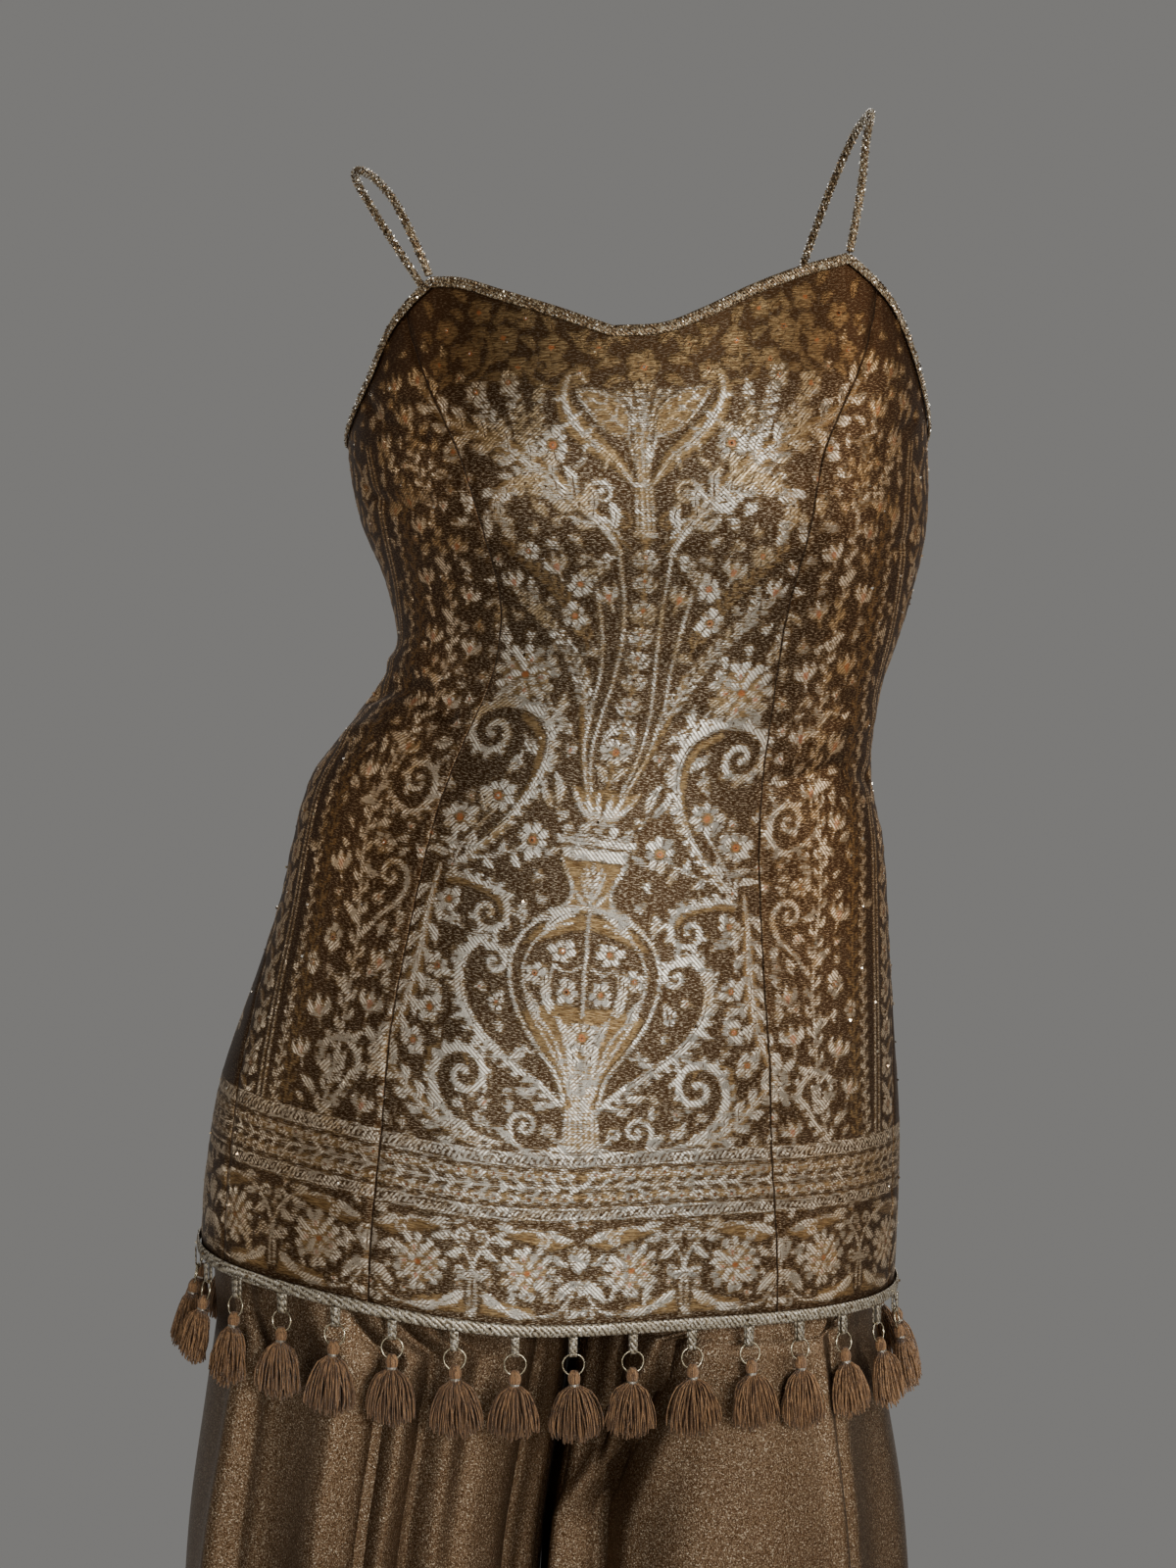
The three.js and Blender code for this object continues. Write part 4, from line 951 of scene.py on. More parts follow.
def drawUpperVase(board):
    line, leaf, flower, scroll, acanthus, tooth = pens(board, drawLine, drawLeaf, drawFlower, drawScroll,
        drawAcanthus, drawTooth)
    gold, silver, dark = "goldFill", "silverLine", "darkLine"
    # stems that rise from the cup, with flowers between
    each(line, [(gold, [(10, -345), (17, -325), (24, -300), (26, -280)], 3),
        (silver, [(8, -344), (12.5, -325), (13, -305), (11, -285), (9.5, -262), (10.5, -240), (14, -214)], 1.3),
        (silver, [(11, -342), (17, -322), (19, -300), (18.5, -280), (20, -262), (25, -236)], 1.2)])
    flower((0, -322), 8.2, 8, 0.2, mirror=False)
    each(leaf, [((1, -338), (9, -329), 4, 0.8), ((3, -308), (8.5, -317), 3.4, 0.6)])
    for level, size in ((-307, 3.4), (-296, 4.4), (-283, 4), (-271, 4.4), (-258, 4.2), (-245, 5.6), (-229, 4.2),
            (-216, 4.6)):
        flower((0, level), size, 5, 0.3, mirror=False)
        line(silver, [(1.2, level - size - 1.4), (4.6, level - size + 0.6), (6.6, level - size + 4.2)],
            [0.5, 1.9, 0.4])
    line(gold, [(0, -340), (0, -205)], 2.4, mirror=False)
    # C-scrolls at the waist
    scroll(silver, [(76, -390), (62, -377), (49, -362), (39.5, -345), (35, -328), (38, -313), (50, -304),
        (66, -302.5), (79, -309)], (68, -319.5), 14.6, 42, -1.3, (1.4, 5, 2.6), eye=1.4)
    each(line, [(dark, [(60, -374), (48, -360), (39, -344), (35.4, -328), (39, -314), (50, -305.5)], 0.7),
        (gold, [(70, -386), (54, -370), (44, -352), (39.5, -336), (42, -318), (53, -309)], 4)])
    for at, tip in (((36, -333), (29, -330)), ((37, -317), (30.5, -310)), ((49, -305), (47, -297)),
            ((66, -303), (68, -295.5)), ((41, -349), (35, -350))):
        tooth(at, tip, (1.2, 2.8, 0.5))
    each(leaf, [((24, -352), (29, -336), 5, 1.5), ((27, -354), (35, -341), 4, -1)])
    # flowers between the scroll and the vase
    for centre, size, petals in (((57, -352), 9.4, 7), ((76, -366), 9.4, 7), ((34.5, -372.5), 9.2, 7)):
        flower(centre, size, petals, 0.2)
    each(line, [(silver, [(77, -391), (66, -386), (52, -382), (42, -378)], [1.2, 1, 1, 0.9]),
        (silver, [(77, -391), (73, -380), (63, -366), (58, -360)], [1.2, 1, 1, 0.9]),
        (silver, [(77, -391), (79, -382), (77, -376)], [1.2, 1, 0.9])])
    for base, tip in (((60, -384), (54, -390)), ((52, -383), (50, -374)), ((68, -374), (64, -379)),
            ((74, -382), (86, -378)), ((70, -383), (67, -372)), ((44, -380), (40, -388)), ((80, -386), (92, -384)),
            ((62, -361), (68, -350))):
        leaf(base, tip, 4, 1)
    flower((77, -391), 3, 5, 0)
    # medium scrolls beside the neck
    scroll(silver, [(80, -397), (72, -395.5), (60, -398), (48, -402)], (55, -413), 12.6, 125, 1.2, (1.4, 3.6, 2.2),
        eye=1.4)
    line(gold, [(78, -399), (66, -399), (52, -404), (45, -413)], 3.6)
    # side column of leaves at the seam
    acanthus([(84, -392), (88, -412), (90.5, -432), (94, -452), (100, -472), (108, -488), (112, -496)], 13, 4.4, 13)
    each(flower, [((77, -409), 6.6, 6, 0.2), ((80.5, -444), 6.8, 6, 0.5), ((83.5, -466), 7.4, 6, 0.1),
        ((92, -484), 7, 6, 0.8)])
    acanthus([(52, -536), (66, -530), (80, -521), (92, -511), (103, -500), (113, -489)], 12, 4.4, 11)


def drawBouquet(board):
    line, leaf, flower, bud, sprig, scroll, acanthus, peony, tooth = pens(board, drawLine, drawLeaf, drawFlower,
        drawBud, drawSprig, drawScroll, drawAcanthus, drawPeony, drawTooth)
    gold, silver, dark = "goldFill", "silverLine", "darkLine"
    # column, tie and stamens
    for x in (1.4, 4.2):
        line(silver, [(x, -205), (x, -190), (x * 0.9, -178)], 1.1)
    line(silver, [(-5.5, -204), (5.5, -204)], 1.8, mirror=False)
    line(silver, [(-5, -177), (5, -177)], 2, mirror=False)
    line(gold, [(0, -206), (0, -150)], 6.5, mirror=False)
    line(silver, [(0, -176), (0, -150), (0, -127)], [1.4, 1.8, 1], mirror=False)
    each(line, [(silver, [(2.4, -176), (3, -160), (4, -148), (7, -131)], [1, 2, 1.4, 0.9]),
        (silver, [(0.6, -150), (2, -138), (3.2, -127)], [1, 1.2, 0.9]),
        (silver, [(1.5, -146), (7, -135), (12, -130)], [1, 1.2, 0.9])])
    for x, level in ((0, -125.5), (3.8, -125.6), (8, -129), (13.5, -128.8)):
        line(silver, [(x - 0.1, level), (x + 0.1, level)], 2.8, mirror=x > 0)
    leaf((7, -151), (35, -127), 15, 2, "veined")
    line(silver, [(3, -168), (6, -158), (8, -150)], 1.4)
    # outer curled leaves
    each(line, [(gold, [(5, -177), (15, -164), (28, -153), (39, -141), (43, -129), (40, -119), (34, -119)],
        [3, 8, 11, 10, 7, 4, 2]), (silver, [(5, -177), (14, -165), (26, -155), (37, -143), (42, -130), (39.5, -120),
        (34, -118.5), (31, -122)], [1.2, 2.4, 3.2, 3, 2.4, 1.8, 1.4, 1.2]),
        (dark, [(10, -171), (19, -161), (31, -151), (39, -139), (41.5, -129)], 0.7)])
    for at, tip in (((30, -150), (25, -146)), ((38, -142), (32, -139)), ((38, -144), (44, -147)),
            ((42, -132), (48, -131)), ((28, -154), (31, -160)), ((18, -162), (20, -169))):
        tooth(at, tip)
    # spirals beside the column
    scroll(silver, [(13, -206), (19, -197), (28, -193), (32, -185)], (22.5, -182), 8.6, -8, 1.25, (1.2, 2.8, 1.6),
        eye=1.2)
    scroll(gold, [(8, -211), (14, -207), (18, -201)], (11.6, -197.5), 6.6, -20, 1.2, (1, 2.6, 1.4), eye=1.2)
    # acanthus arms
    each(acanthus, [([(13, -214), (20, -202), (31, -190), (46, -176), (62, -163), (80, -153), (98, -146),
        (112, -138), (122, -126)], 16, 5.4, 14), ([(30, -192), (42, -182), (56, -176.5), (69, -177), (78, -184),
        (80, -194), (76, -200)], 11, 4.4, 11)])
    line(silver, [(13, -214), (22, -201), (33, -189), (48, -175.5), (64, -163)], [1.6, 3.4, 4.8, 4.6, 3])
    flower((47, -156), 9.2, 7, 0.2)
    line(silver, [(50, -174), (47.5, -166)], 1.4)
    # bud sprays above the arms
    each(sprig, [([(62, -163), (63, -150), (67, -138), (69, -128)], 6.5, 2.6, 6.5),
        ([(70, -158), (76, -147), (84, -138), (88, -130)], 6.5, 2.6, 6.5),
        ([(58, -166), (54, -150), (56, -140)], 5.5, 2.4, 6)])
    each(flower, [((90, -127), 6.4, 6, 0.3), ((72, -122), 6, 6, 0.1), ((102, -160), 6.4, 6, 0.3)])
    # sprays between the arms and the waist
    sprig([(14, -214), (24, -222), (30, -232)], 5, 2.4, 5.5)
    for centre, size in (((34, -232), 7.8), ((19, -238), 6.4), ((36, -250), 8.2), ((47, -222), 6.6),
            ((62, -214), 6.2), ((70, -232), 6)):
        if centre[0] in (34, 36, 62):
            flower(centre, size * 0.9, 6, centre[0] * 0.3)
        else:
            bud((centre[0] - 2, centre[1] - size * 0.8), (centre[0] + 2.5, centre[1] + size), size * 1.5)
    sprig([(27, -268), (33, -254), (44, -238), (58, -224), (72, -212)], 6, 2.2, 6, style="goldFill")
    each(sprig, [([(20, -306), (27, -288), (37, -270), (50, -255), (66, -240)], 6, 2.3, 6.2),
        ([(52, -256), (58, -245), (60, -234)], 4.5, 2, 5)])
    peony((59, -286), 16.5)
    each(sprig, [([(70, -274), (76, -262), (78, -250)], 5.5, 2.4, 6),
        ([(44, -297), (38, -306), (30, -312)], 5.5, 2.4, 6)])
    # quiet foliage of the yoke, in old gold alone
    drawQuiet(board, [(0, -116, 9.5), (24, -105, 5.5), (34, -118, 6), (49, -104, 8), (67, -114, 6), (75, -98, 8),
        (94, -106, 7), (62, -88, 6), (88, -84, 7), (108, -93, 7), (113, -112, 6), (8, -104, 18, -97, 5),
        (12, -112, 26, -116, 5.5), (10, -121, 22, -127, 5), (30, -108, 40, -96, 5), (40, -113, 52, -121, 5.5),
        (38, -100, 28, -94, 4.5), (58, -104, 66, -98, 5), (57, -110, 60, -120, 4.5), (48, -96, 54, -86, 5),
        (72, -107, 84, -112, 5), (74, -120, 86, -120, 5), (83, -96, 94, -95, 5), (68, -90, 76, -84, 4.5),
        (80, -90, 74, -80, 4.5), (100, -101, 104, -110, 4.5), (96, -78, 104, -72, 5), (98, -88, 106, -82, 4),
        (88, -112, 98, -118, 5), (104, -118, 112, -126, 5), (118, -100, 126, -94, 4.5), (118, -86, 124, -76, 5),
        (16, -99, 22, -111, 4)])
    scroll("goldFill", [(30, -122), (44, -126), (58, -122)], (54, -114), 7.5, -30, 1.1, (1.2, 3.4, 2), eye=0)
    scroll("goldFill", [(96, -122), (88, -118), (82, -106)], (88, -100), 6, 200, -1.1, (1.2, 3, 1.8), eye=0)


def drawSideStems(board):
    line, leaf, flower, bud, sprig, scroll = pens(board, drawLine, drawLeaf, drawFlower, drawBud, drawSprig,
        drawScroll)
    # climbing stems of the side fronts, with a scroll at the foot and the waist
    silver, gold = "silverLine", "goldFill"
    stem = [(150, -542), (143, -520), (137, -495), (134, -470), (131, -445), (131, -420), (132, -395), (130, -370),
        (124, -345), (116, -320), (110, -295), (108, -270), (110, -245), (114, -220), (118, -200)]
    sprig(stem, 8, 2.8, 11, 1.8)
    scroll(silver, [(146, -530), (136, -518), (128, -506)], (138, -500), 15, 195, -1.25, (1.6, 3.8, 2.4), eye=1.4)
    scroll(silver, [(128, -436), (118, -424), (108, -416)], (112, -402), 11, 220, -1.2, (1.4, 3, 2), eye=1.2)
    scroll(silver, [(126, -352), (118, -362), (104, -368), (95, -360)], (105, -351), 12, 205, -1.3, (1.4, 3.8, 2),
        eye=1.3)
    for x, level, size, petals in ((120, -470, 8, 6), (116, -448, 7.2, 6), (150, -478, 8.6, 7), (147, -440, 7.6, 6),
            (160, -455, 6, 5), (119, -386, 7, 6), (146, -402, 8, 6), (118, -336, 6.6, 6), (138, -352, 7.6, 6),
            (102, -308, 7, 6), (126, -312, 7.6, 6), (96, -276, 7, 6), (124, -272, 7.4, 6), (98, -244, 6.4, 6),
            (126, -236, 7, 6), (104, -214, 6.6, 6), (128, -204, 6.6, 6), (160, -500, 7, 6), (122, -522, 6.6, 6)):
        if (x + level) % 2 < 1:
            bud((x, level - size * 0.6), (x + (3 if x > 125 else -3), level + size), size * 1.5)
        else:
            flower((x, level), size * 0.92, petals, 0.2 + x)
    for base, tip, width in (((132, -468), (144, -458), 5), ((133, -490), (122, -484), 4.4),
            ((131, -430), (142, -420), 5), ((131, -400), (120, -404), 4.6), ((128, -366), (140, -368), 5),
            ((120, -335), (132, -330), 4.6), ((110, -300), (120, -294), 4.6), ((108, -262), (116, -254), 4.4),
            ((112, -230), (120, -222), 4.4), ((150, -520), (160, -512), 5), ((140, -512), (151, -500), 4.6)):
        leaf(base, tip, width, 1)
    # bust: sprays that fan from the seam
    each(sprig, [([(118, -200), (122, -182), (128, -165), (132, -150)], 8, 3.2, 9),
        ([(120, -192), (132, -186), (144, -176), (150, -164)], 7, 2.8, 8)])
    for x, level, size in ((136, -142, 7.6), (154, -158, 7), (128, -120, 7), (146, -124, 6.6), (138, -190, 6.4),
            (152, -196, 6), (160, -140, 6)):
        bud((x - 2, level - size * 0.7), (x + 2, level + size), size * 1.5)
    # outer stem beyond the first, and the beaded double line at the side
    outer = [(172, -544), (168, -515), (165, -485), (163, -455), (160, -425), (158, -395), (156, -365), (150, -335),
        (142, -305), (136, -275), (136, -245), (140, -215), (146, -190)]
    each(sprig, [(outer, 7, 2.4, 9.5, 1.4, gold), ([(x + 9, level) for x, level in outer], 5, 2, 8, 1.2, silver)])
    for offset in (0, 4.2):
        line(silver, [(187 + offset, -544), (186 + offset, -500), (184 + offset, -450), (180 + offset, -400),
            (176 + offset, -360), (168 + offset, -320), (160 + offset, -280), (160 + offset, -240),
            (164 + offset, -200), (170 + offset, -160)], 1.3)
    for k in range(17):
        level = -536 + 22 * k
        shift = np.interp(level, [-544, -450, -360, -280, -160], [0, -3, -11, -27, -17])
        flower((203 + shift, level), 7.2, 6, 0.3)
        each(leaf, [((203 + shift, level + 7), (212 + shift, level + 15), 5, 1, "gold"),
            ((203 + shift, level + 7), (195 + shift, level + 14), 4, 1)])
        flower((229 + shift, level + 9), 6.6, 6, 0.3)
        each(leaf, [((229 + shift, level + 16), (238 + shift, level + 23), 5, 1, "gold"),
            ((221 + shift, level - 3), (214 + shift, level + 4), 4, 1)])


def drawBands(board, setup, around):
    line, shape, leaf, peony = pens(board, drawLine, drawShape, drawLeaf, drawPeony)
    silver, gold, dark = "silverLine", "goldFill", "darkLine"
    for low, high in ((setup["borderTop"], setup["vineBottom"]), (setup["vineTop"], setup["top"])):
        for x in np.arange(-around / 2 - 30, around / 2 + 30, 12):
            shape(silver, [(x, low + 0.9), (x + 12, low + 0.9), (x + 12, high - 0.9), (x, high - 0.9)], mirror=False)
            for k in range(4):
                at = x + 3 * k
                line(dark, [(at, low + 2.4), (at + 1.5, (low + high) / 2 + 1.2), (at + 3, low + 2.4)], 0.85,
                    mirror=False)
            for rule in (low + 1.9, high - 1.9):
                line(dark, [(x, rule), (x + 12, rule)], 0.8, mirror=False)
    middle = (setup["vineBottom"] + setup["vineTop"]) / 2
    count = int(around / 2 / setup["vineStep"])
    step = around / 2 / count
    for k in range(count):
        x = step * k
        line(silver, [(x, middle), (x + step / 2, middle), (x + step, middle)], 1.3)
        for up in (1, -1):
            each(line, [(silver, [(x + 0.5, middle), (x + 4, middle + up * 2), (x + 6.6, middle + up * 5)],
                [1.2, 1.8, 0.9]), (gold, [(x + 2, middle + up * 5.5), (x + 6, middle + up * 6.5)], 4.5)])
            turn = np.linspace(0, 2 * np.pi, 9)
            each(line, [(silver, np.stack([x + 8.6 + 2.1 * np.cos(turn), middle + up * 6.6 + 2.1 * np.sin(turn)],
                -1), 1.25), (silver, [(x + 3.2, middle + up * 7.6), (x + 4.8, middle + up * 6.2)], [0.6, 1.8]),
                ("copperEye", [(x + 8.5, middle + up * 6.6), (x + 8.7, middle + up * 6.6)], 0.9)])
    # flower border: mirrored about the middle of each unit, so its pens do not mirror
    line, shape, leaf, peony = (partial(pen, mirror=False) for pen in (line, shape, leaf, peony))
    unitLength = around / setup["units"]
    half = unitLength / 2
    for k in range(-5, 5):
        x = k * unitLength
        for sign in (1, -1):
            def at(px, height):
                return (x + sign * px, height)
            peony(at(half * 0.49, 34), 14)
            # tendril that arches over the flower and ends in a curl
            arch = [at(half - 1.5, 14), at(half * 0.97, 24), at(half * 0.99, 36), at(half * 0.90, 47),
                at(half * 0.72, 55), at(half * 0.5, 57.5)]
            line(silver, arch, [1, 1.2, 1.3, 1.5, 1.6, 1])
            spiral = curl(at(half * 0.345, 51), 5, 60 if sign > 0 else 120, 1.1 * sign)
            board.append((silver, "line", np.column_stack([spiral, np.linspace(1.6, 1.2, len(spiral))])))
            line(silver, [at(half * 0.5, 57.5), at(half * 0.40, 57), (spiral[0, 0], spiral[0, 1])], [1, 1.2, 1.4])
            leaves = ((at(half * 0.30, 57), at(half * 0.02 + 2, 51), 4.4),
                (at(half * 0.9, 46), at(half * 0.76, 40), 4.4), (at(half * 0.92, 22), at(half * 0.66, 13), 5.6),
                (at(half * 0.70, 13), at(half * 0.42, 11.5), 5), (at(half * 0.99, 33), at(half * 0.86, 30), 3.4),
                (at(1.5, 29), at(half * 0.25, 17), 6), (at(half * 0.60, 57), at(half * 0.80, 58), 3.4),
                (at(half * 0.25, 44), at(half * 0.10, 38), 3.8), (at(half * 0.80, 53), at(half * 0.62, 50), 4))
            for base, tip, width in leaves:
                leaf(base, tip, width, 1.2 * sign, "silver")
            line(silver, [at(0.4, 29), at(6, 19), at(13, 12), at(half * 0.5, 9.5)], [1.4, 1.4, 1.3, 1.2])
            line(silver, [at(2.2, 12), at(2.4, 12)], 4.4)
            line(silver, [at(6.2, 15), at(7.4, 10.5), at(4.6, 9)], [1, 1.8, 1])
            line(silver, [at(2.2, 36), at(4.6, 43), at(2.2, 48)], [1.4, 2.6, 1.2])
            column = curl((x + sign * (half - 4.5), 52), 4.4, 200 if sign > 0 else -20, -1.1 * sign)
            board.append((silver, "line", np.column_stack([column, np.linspace(1.6, 1.1, len(column))])))
            foot = curl((x + sign * (half - 7.5), 32.5), 3.2, 0 if sign > 0 else 180, 1 * sign)
            board.append((silver, "line", np.column_stack([foot, np.linspace(1.4, 1.2, len(foot))])))
            shape(gold, [at(half * 0.95, 10), at(half * 0.4, 9), at(half * 0.45, 15), at(half * 0.9, 20)])
            shape(gold, [at(2, 50), at(half * 0.4, 58), at(half * 0.8, 56), at(half * 0.6, 52), at(half * 0.25, 46)])
        shape(silver, [(x, 33), (x + 3.4, 38), (x + 2.2, 44), (x, 47), (x - 2.2, 44), (x - 3.4, 38)])
        line(dark, [(x, 35), (x, 45)], 0.7)
        line(silver, [(x, 22), (x, 30)], [2.4, 1])


def drawBack(board):
    flower, sprig = pens(board, drawFlower, drawSprig)
    # the back repeats one sprig in half-drop rows, mirrored about the middle of the back
    rows = 9
    for r in range(rows):
        for c in range(-9, 10):
            x, level = c * 62 + (31 if r % 2 else 0), -500 + 46 * r
            if abs(x) < 150 or abs(x) > 560:
                continue
            sprig([(x, level - 14), (x + 1, level - 4), (x, level + 6)], 7, 2.8, 6, 1.6, mirror=False)
            flower((x, level + 12), 7.6, 7, 0.2, mirror=False)
            flower((x - 11, level + 1), 4.6, 5, 0.2, mirror=False)
            flower((x + 11, level + 1), 4.6, 5, 0.5, mirror=False)


roundHem = float(acrossCloth(np.array(-615.0), np.array(179.99)) - acrossCloth(np.array(-615.0), np.array(-180.0)))
bandSetup = {"borderTop": 62.0, "vineBottom": 70.0, "vineTop": 91.0, "top": 100.0, "vineStep": 9.4, "units": 9}
drawVase(frontPattern)
drawUpperVase(frontPattern)
drawBouquet(frontPattern)
drawSideStems(frontPattern)
fillGaps(frontPattern, (2, 128, -536, -128), 11.0, 5.2)
fillGaps(frontPattern, (90, 182, -540, -96), 10.0, 4.6)
fillGaps(frontPattern, (190, 262, -540, -150), 9.0, 4.2)
drawBands(bandPattern, bandSetup, roundHem)
fillGaps(bandPattern, (2, roundHem / 2, 10, 60), 7.0, 3.0)
drawBack(backPattern)
print("pattern strokes", len(frontPattern), len(bandPattern), len(backPattern))


# Kurti panels
panelSetup = {"frontCentre": {"node": "front_centre", "from": ("seam", -1), "to": ("seam", 1), "columns": 200,
    "rows": 462, "board": frontPattern, "flat": (0.26, 0.59), "area": 0.114},
    "frontSideRight": {"node": "front_side_right", "from": ("seam", 1), "to": ("side", 1), "columns": 112,
    "rows": 401, "board": frontPattern, "flat": (0.14, 0.57), "area": 0.061},
    "frontSideLeft": {"node": "front_side_left", "from": ("side", -1), "to": ("seam", -1), "columns": 112,
    "rows": 401, "board": frontPattern, "flat": (0.14, 0.57), "area": 0.061},
    "backSideRight": {"node": "back_side_right", "from": ("side", 1), "to": ("back", 1), "columns": 90, "rows": 201,
    "step": 5, "board": backPattern, "flat": (0.19, 0.52), "area": 0.068},
    "backSideLeft": {"node": "back_side_left", "from": ("back", -1), "to": ("side", -1), "columns": 90, "rows": 201,
    "step": 5, "board": backPattern, "flat": (0.19, 0.52), "area": 0.068},
    "backCentre": {"node": "back_centre", "from": ("back", 1), "to": ("back", -1, 360.0), "columns": 90, "rows": 201,
    "step": 5, "board": backPattern, "flat": (0.24, 0.52), "area": 0.101},}

# how the seams and the raised weave shape a panel's face, and where creases die out at hem and top
faceSetup = {"plainHem": 10.0, "fadeHem": 24.0, "plainTop": 8.0, "fadeTop": 22.0, "pucker": 0.3, "puckerStep": 3.1,
             "puckerDrift": 17.0, "puckerReach": 7.0, "seamDip": 0.8, "seamReach": 2.2, "seamLine": 0.45,
             "silverRelief": 0.22, "goldRelief": 0.12, "wallShare": 0.75}

# soft creases on the kurti: points across and level, height outward, and half width
creaseList = [
    ([(-176, -134), (-152, -146), (-122, -150)], -2.4, 4.5), ([(-172, -124), (-148, -134), (-120, -136)], 1.2, 5.0),
    ([(-182, -186), (-152, -193), (-120, -190)], -2.0, 4.5), ([(176, -148), (150, -158), (124, -158)], -1.4, 4.0),
    ([(182, -204), (156, -212), (130, -208)], -1.2, 4.0), ([(-176, -316), (-138, -306), (-98, -314)], -3.6, 5.0),
    ([(-180, -296), (-140, -290), (-104, -300)], 2.6, 6.0), ([(-178, -338), (-150, -330), (-124, -336)], 2.2, 6.0),
    ([(176, -330), (138, -322), (98, -330)], -2.6, 5.0), ([(170, -300), (140, -300), (112, -310)], 1.4, 6.0),
    ([(-62, -480), (-66, -560), (-72, -604)], 1.3, 13.0), ([(38, -500), (44, -560), (48, -604)], -1.1, 13.0),
    ([(124, -470), (130, -540), (136, -604)], 1.3, 11.0), ([(-128, -440), (-136, -530), (-142, -604)], -1.3, 11.0),
    ([(-30, -300), (8, -308), (40, -300)], -0.9, 6.0), ([(-46, -262), (-10, -268), (30, -262)], 0.7, 7.0),
    ([(-60, -150), (-30, -160), (0, -156)], 0.6, 6.0), ([(20, -176), (50, -170), (80, -178)], -0.6, 6.0)]


def seamLine(kind, sign, turn=0.0):
    # the angle of a seam at each level; turn carries a panel on past the middle of the back
    def angleAt(level):
        return turn + sign * readTable(sections, "level", kind, level)

    return angleAt


def meetTop(line, shape):
    low, high = np.full(shape, -175.0), np.full(shape, -55.0)
    for _ in range(30):
        middle = (low + high) / 2
        below = middle < topLevelAt(line(middle))
        low, high = np.where(below, middle, low), np.where(below, high, middle)
    return (low + high) / 2


def creaseHeight(across, level):
    total = np.zeros(across.shape)
    for points, height, width in creaseList:
        curve = smoothCurve(points, 6)
        near = ((across > curve[:, 0].min() - 2.5 * width) & (across < curve[:, 0].max() + 2.5 * width)
                & (level > curve[:, 1].min() - 2.5 * width) & (level < curve[:, 1].max() + 2.5 * width))
        if near.any():
            total[near] += height * bell(lineDistance(across[near], level[near], curve), width)
    return total


def panelAcross(level, angle):
    behind = angle > 180
    around = acrossCloth(level, np.where(behind, angle - 360.0, angle))
    total = acrossCloth(level, np.full_like(angle, 180.0)) - acrossCloth(level, np.full_like(angle, -180.0))
    return around + np.where(behind, total, 0.0)


def makePanel(name, setup):
    rows, columns = setup["rows"], setup["columns"]
    start, end = seamLine(*setup["from"]), seamLine(*setup["to"])
    share = np.linspace(0, 1, columns)[None, :]

    def line(level):
        return start(level) + (end(level) - start(level)) * share

    bottom = hemLevelAt(line(np.full((1, columns), kurtiForm["hemLevel"])))
    top = meetTop(line, (1, columns))
    climb = np.linspace(0, 1, rows)[:, None]
    level = bottom + (top - bottom) * climb
    inset = np.degrees(kurtiForm["seamGap"] / 2 / kurtiForm["seamRadius"])
    edge = np.zeros((1, columns))
    edge[0, 0], edge[0, -1] = inset, -inset
    angle = line(level) + edge
    across = panelAcross(level, angle)
    height = level - hemLevelAt(angle)
    outward = kurtiOutward(level, angle)
    base = kurtiPoint(level, angle)
    # creases die out before the bound edges, and the seams draw the cloth in by fits and starts
    face, toSeams = faceSetup, (across - across[:, :1], across - across[:, -1:])
    tucked = (np.clip((height - face["plainHem"]) / face["fadeHem"], 0, 1)
              * np.clip((topLevelAt(angle) - level - face["plainTop"]) / face["fadeTop"], 0, 1))
    creases = creaseHeight(across, level) * tucked
    pucker = face["pucker"] * np.sin(level / face["puckerStep"] + 1.7 * np.sin(level / face["puckerDrift"])) * tucked
    creases = creases + pucker * sum(bell(away, face["puckerReach"]) for away in toSeams)
    seamDip = -face["seamDip"] * sum(bell(away, face["seamReach"]) for away in toSeams)
    fields = inkFields(across.ravel(), level.ravel(), setup["board"])
    # the bands are laid out both ways from the front, so past the middle of the back they count the other way
    bandAcross = acrossCloth(level, np.where(angle > 180, angle - 360.0, angle))
    bands = inkFields(bandAcross.ravel(), height.ravel(), bandPattern)
    inBand = height.ravel() < bandSetup["top"]
    for ink in fields:
        fields[ink] = np.where(inBand, bands[ink], fields[ink])
    seamGap = np.minimum(across - across[:, :1], across[:, -1:] - across).ravel() - face["seamLine"]
    fields["darkLine"] = np.minimum(fields["darkLine"], seamGap)
    relief = (face["silverRelief"] * (1 - np.clip(fields["silverLine"] / 0.8 + 0.5, 0, 1))
              + face["goldRelief"] * (1 - np.clip(fields["goldFill"] + 0.5, 0, 1)))
    shift = creases + seamDip + relief.reshape(level.shape)
    outer = base + outward * shift[..., None]
    step = setup.get("step", 10)
    faces, rowSteps, columnSteps = shellFaces(rows, columns, step)
    # the wrong side keeps below the deepest crease near each of its points
    deepest = np.array([[creases[max(r - step, 0):r + step + 1, max(c - step, 0):c + step + 1].min()
                         for c in columnSteps] for r in rowSteps])
    inner = (base[np.ix_(rowSteps, columnSteps)]
             + outward[np.ix_(rowSteps, columnSteps)] * (deepest - kurtiForm["wall"] * face["wallShare"])[..., None])
    points = np.vstack([outer.reshape(-1, 3), inner.reshape(-1, 3)])
    outerFaces = (rows - 1) * (columns - 1)
    slots = np.ones(len(faces), dtype=np.int32)
    slots[:outerFaces] = 0
    piece = makePiece(name, points, faces, [silkBrocade, brocadeWrongSide], slots)
    spare = len(inner.reshape(-1, 3))
    for ink, values in fields.items():
        addValues(piece, ink, np.concatenate([values, np.full(spare, inkSetup["far"])]))
    cloth = np.stack([across, level, np.zeros_like(level)], -1).reshape(-1, 3)
    addValues(piece, "cloth", np.vstack([cloth, np.zeros((spare, 3))]), "FLOAT_VECTOR")
    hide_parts(setup["node"])
    return piece


for panelName, panelValues in panelSetup.items():
    makePanel(panelName, panelValues)
    print("panel", panelName)


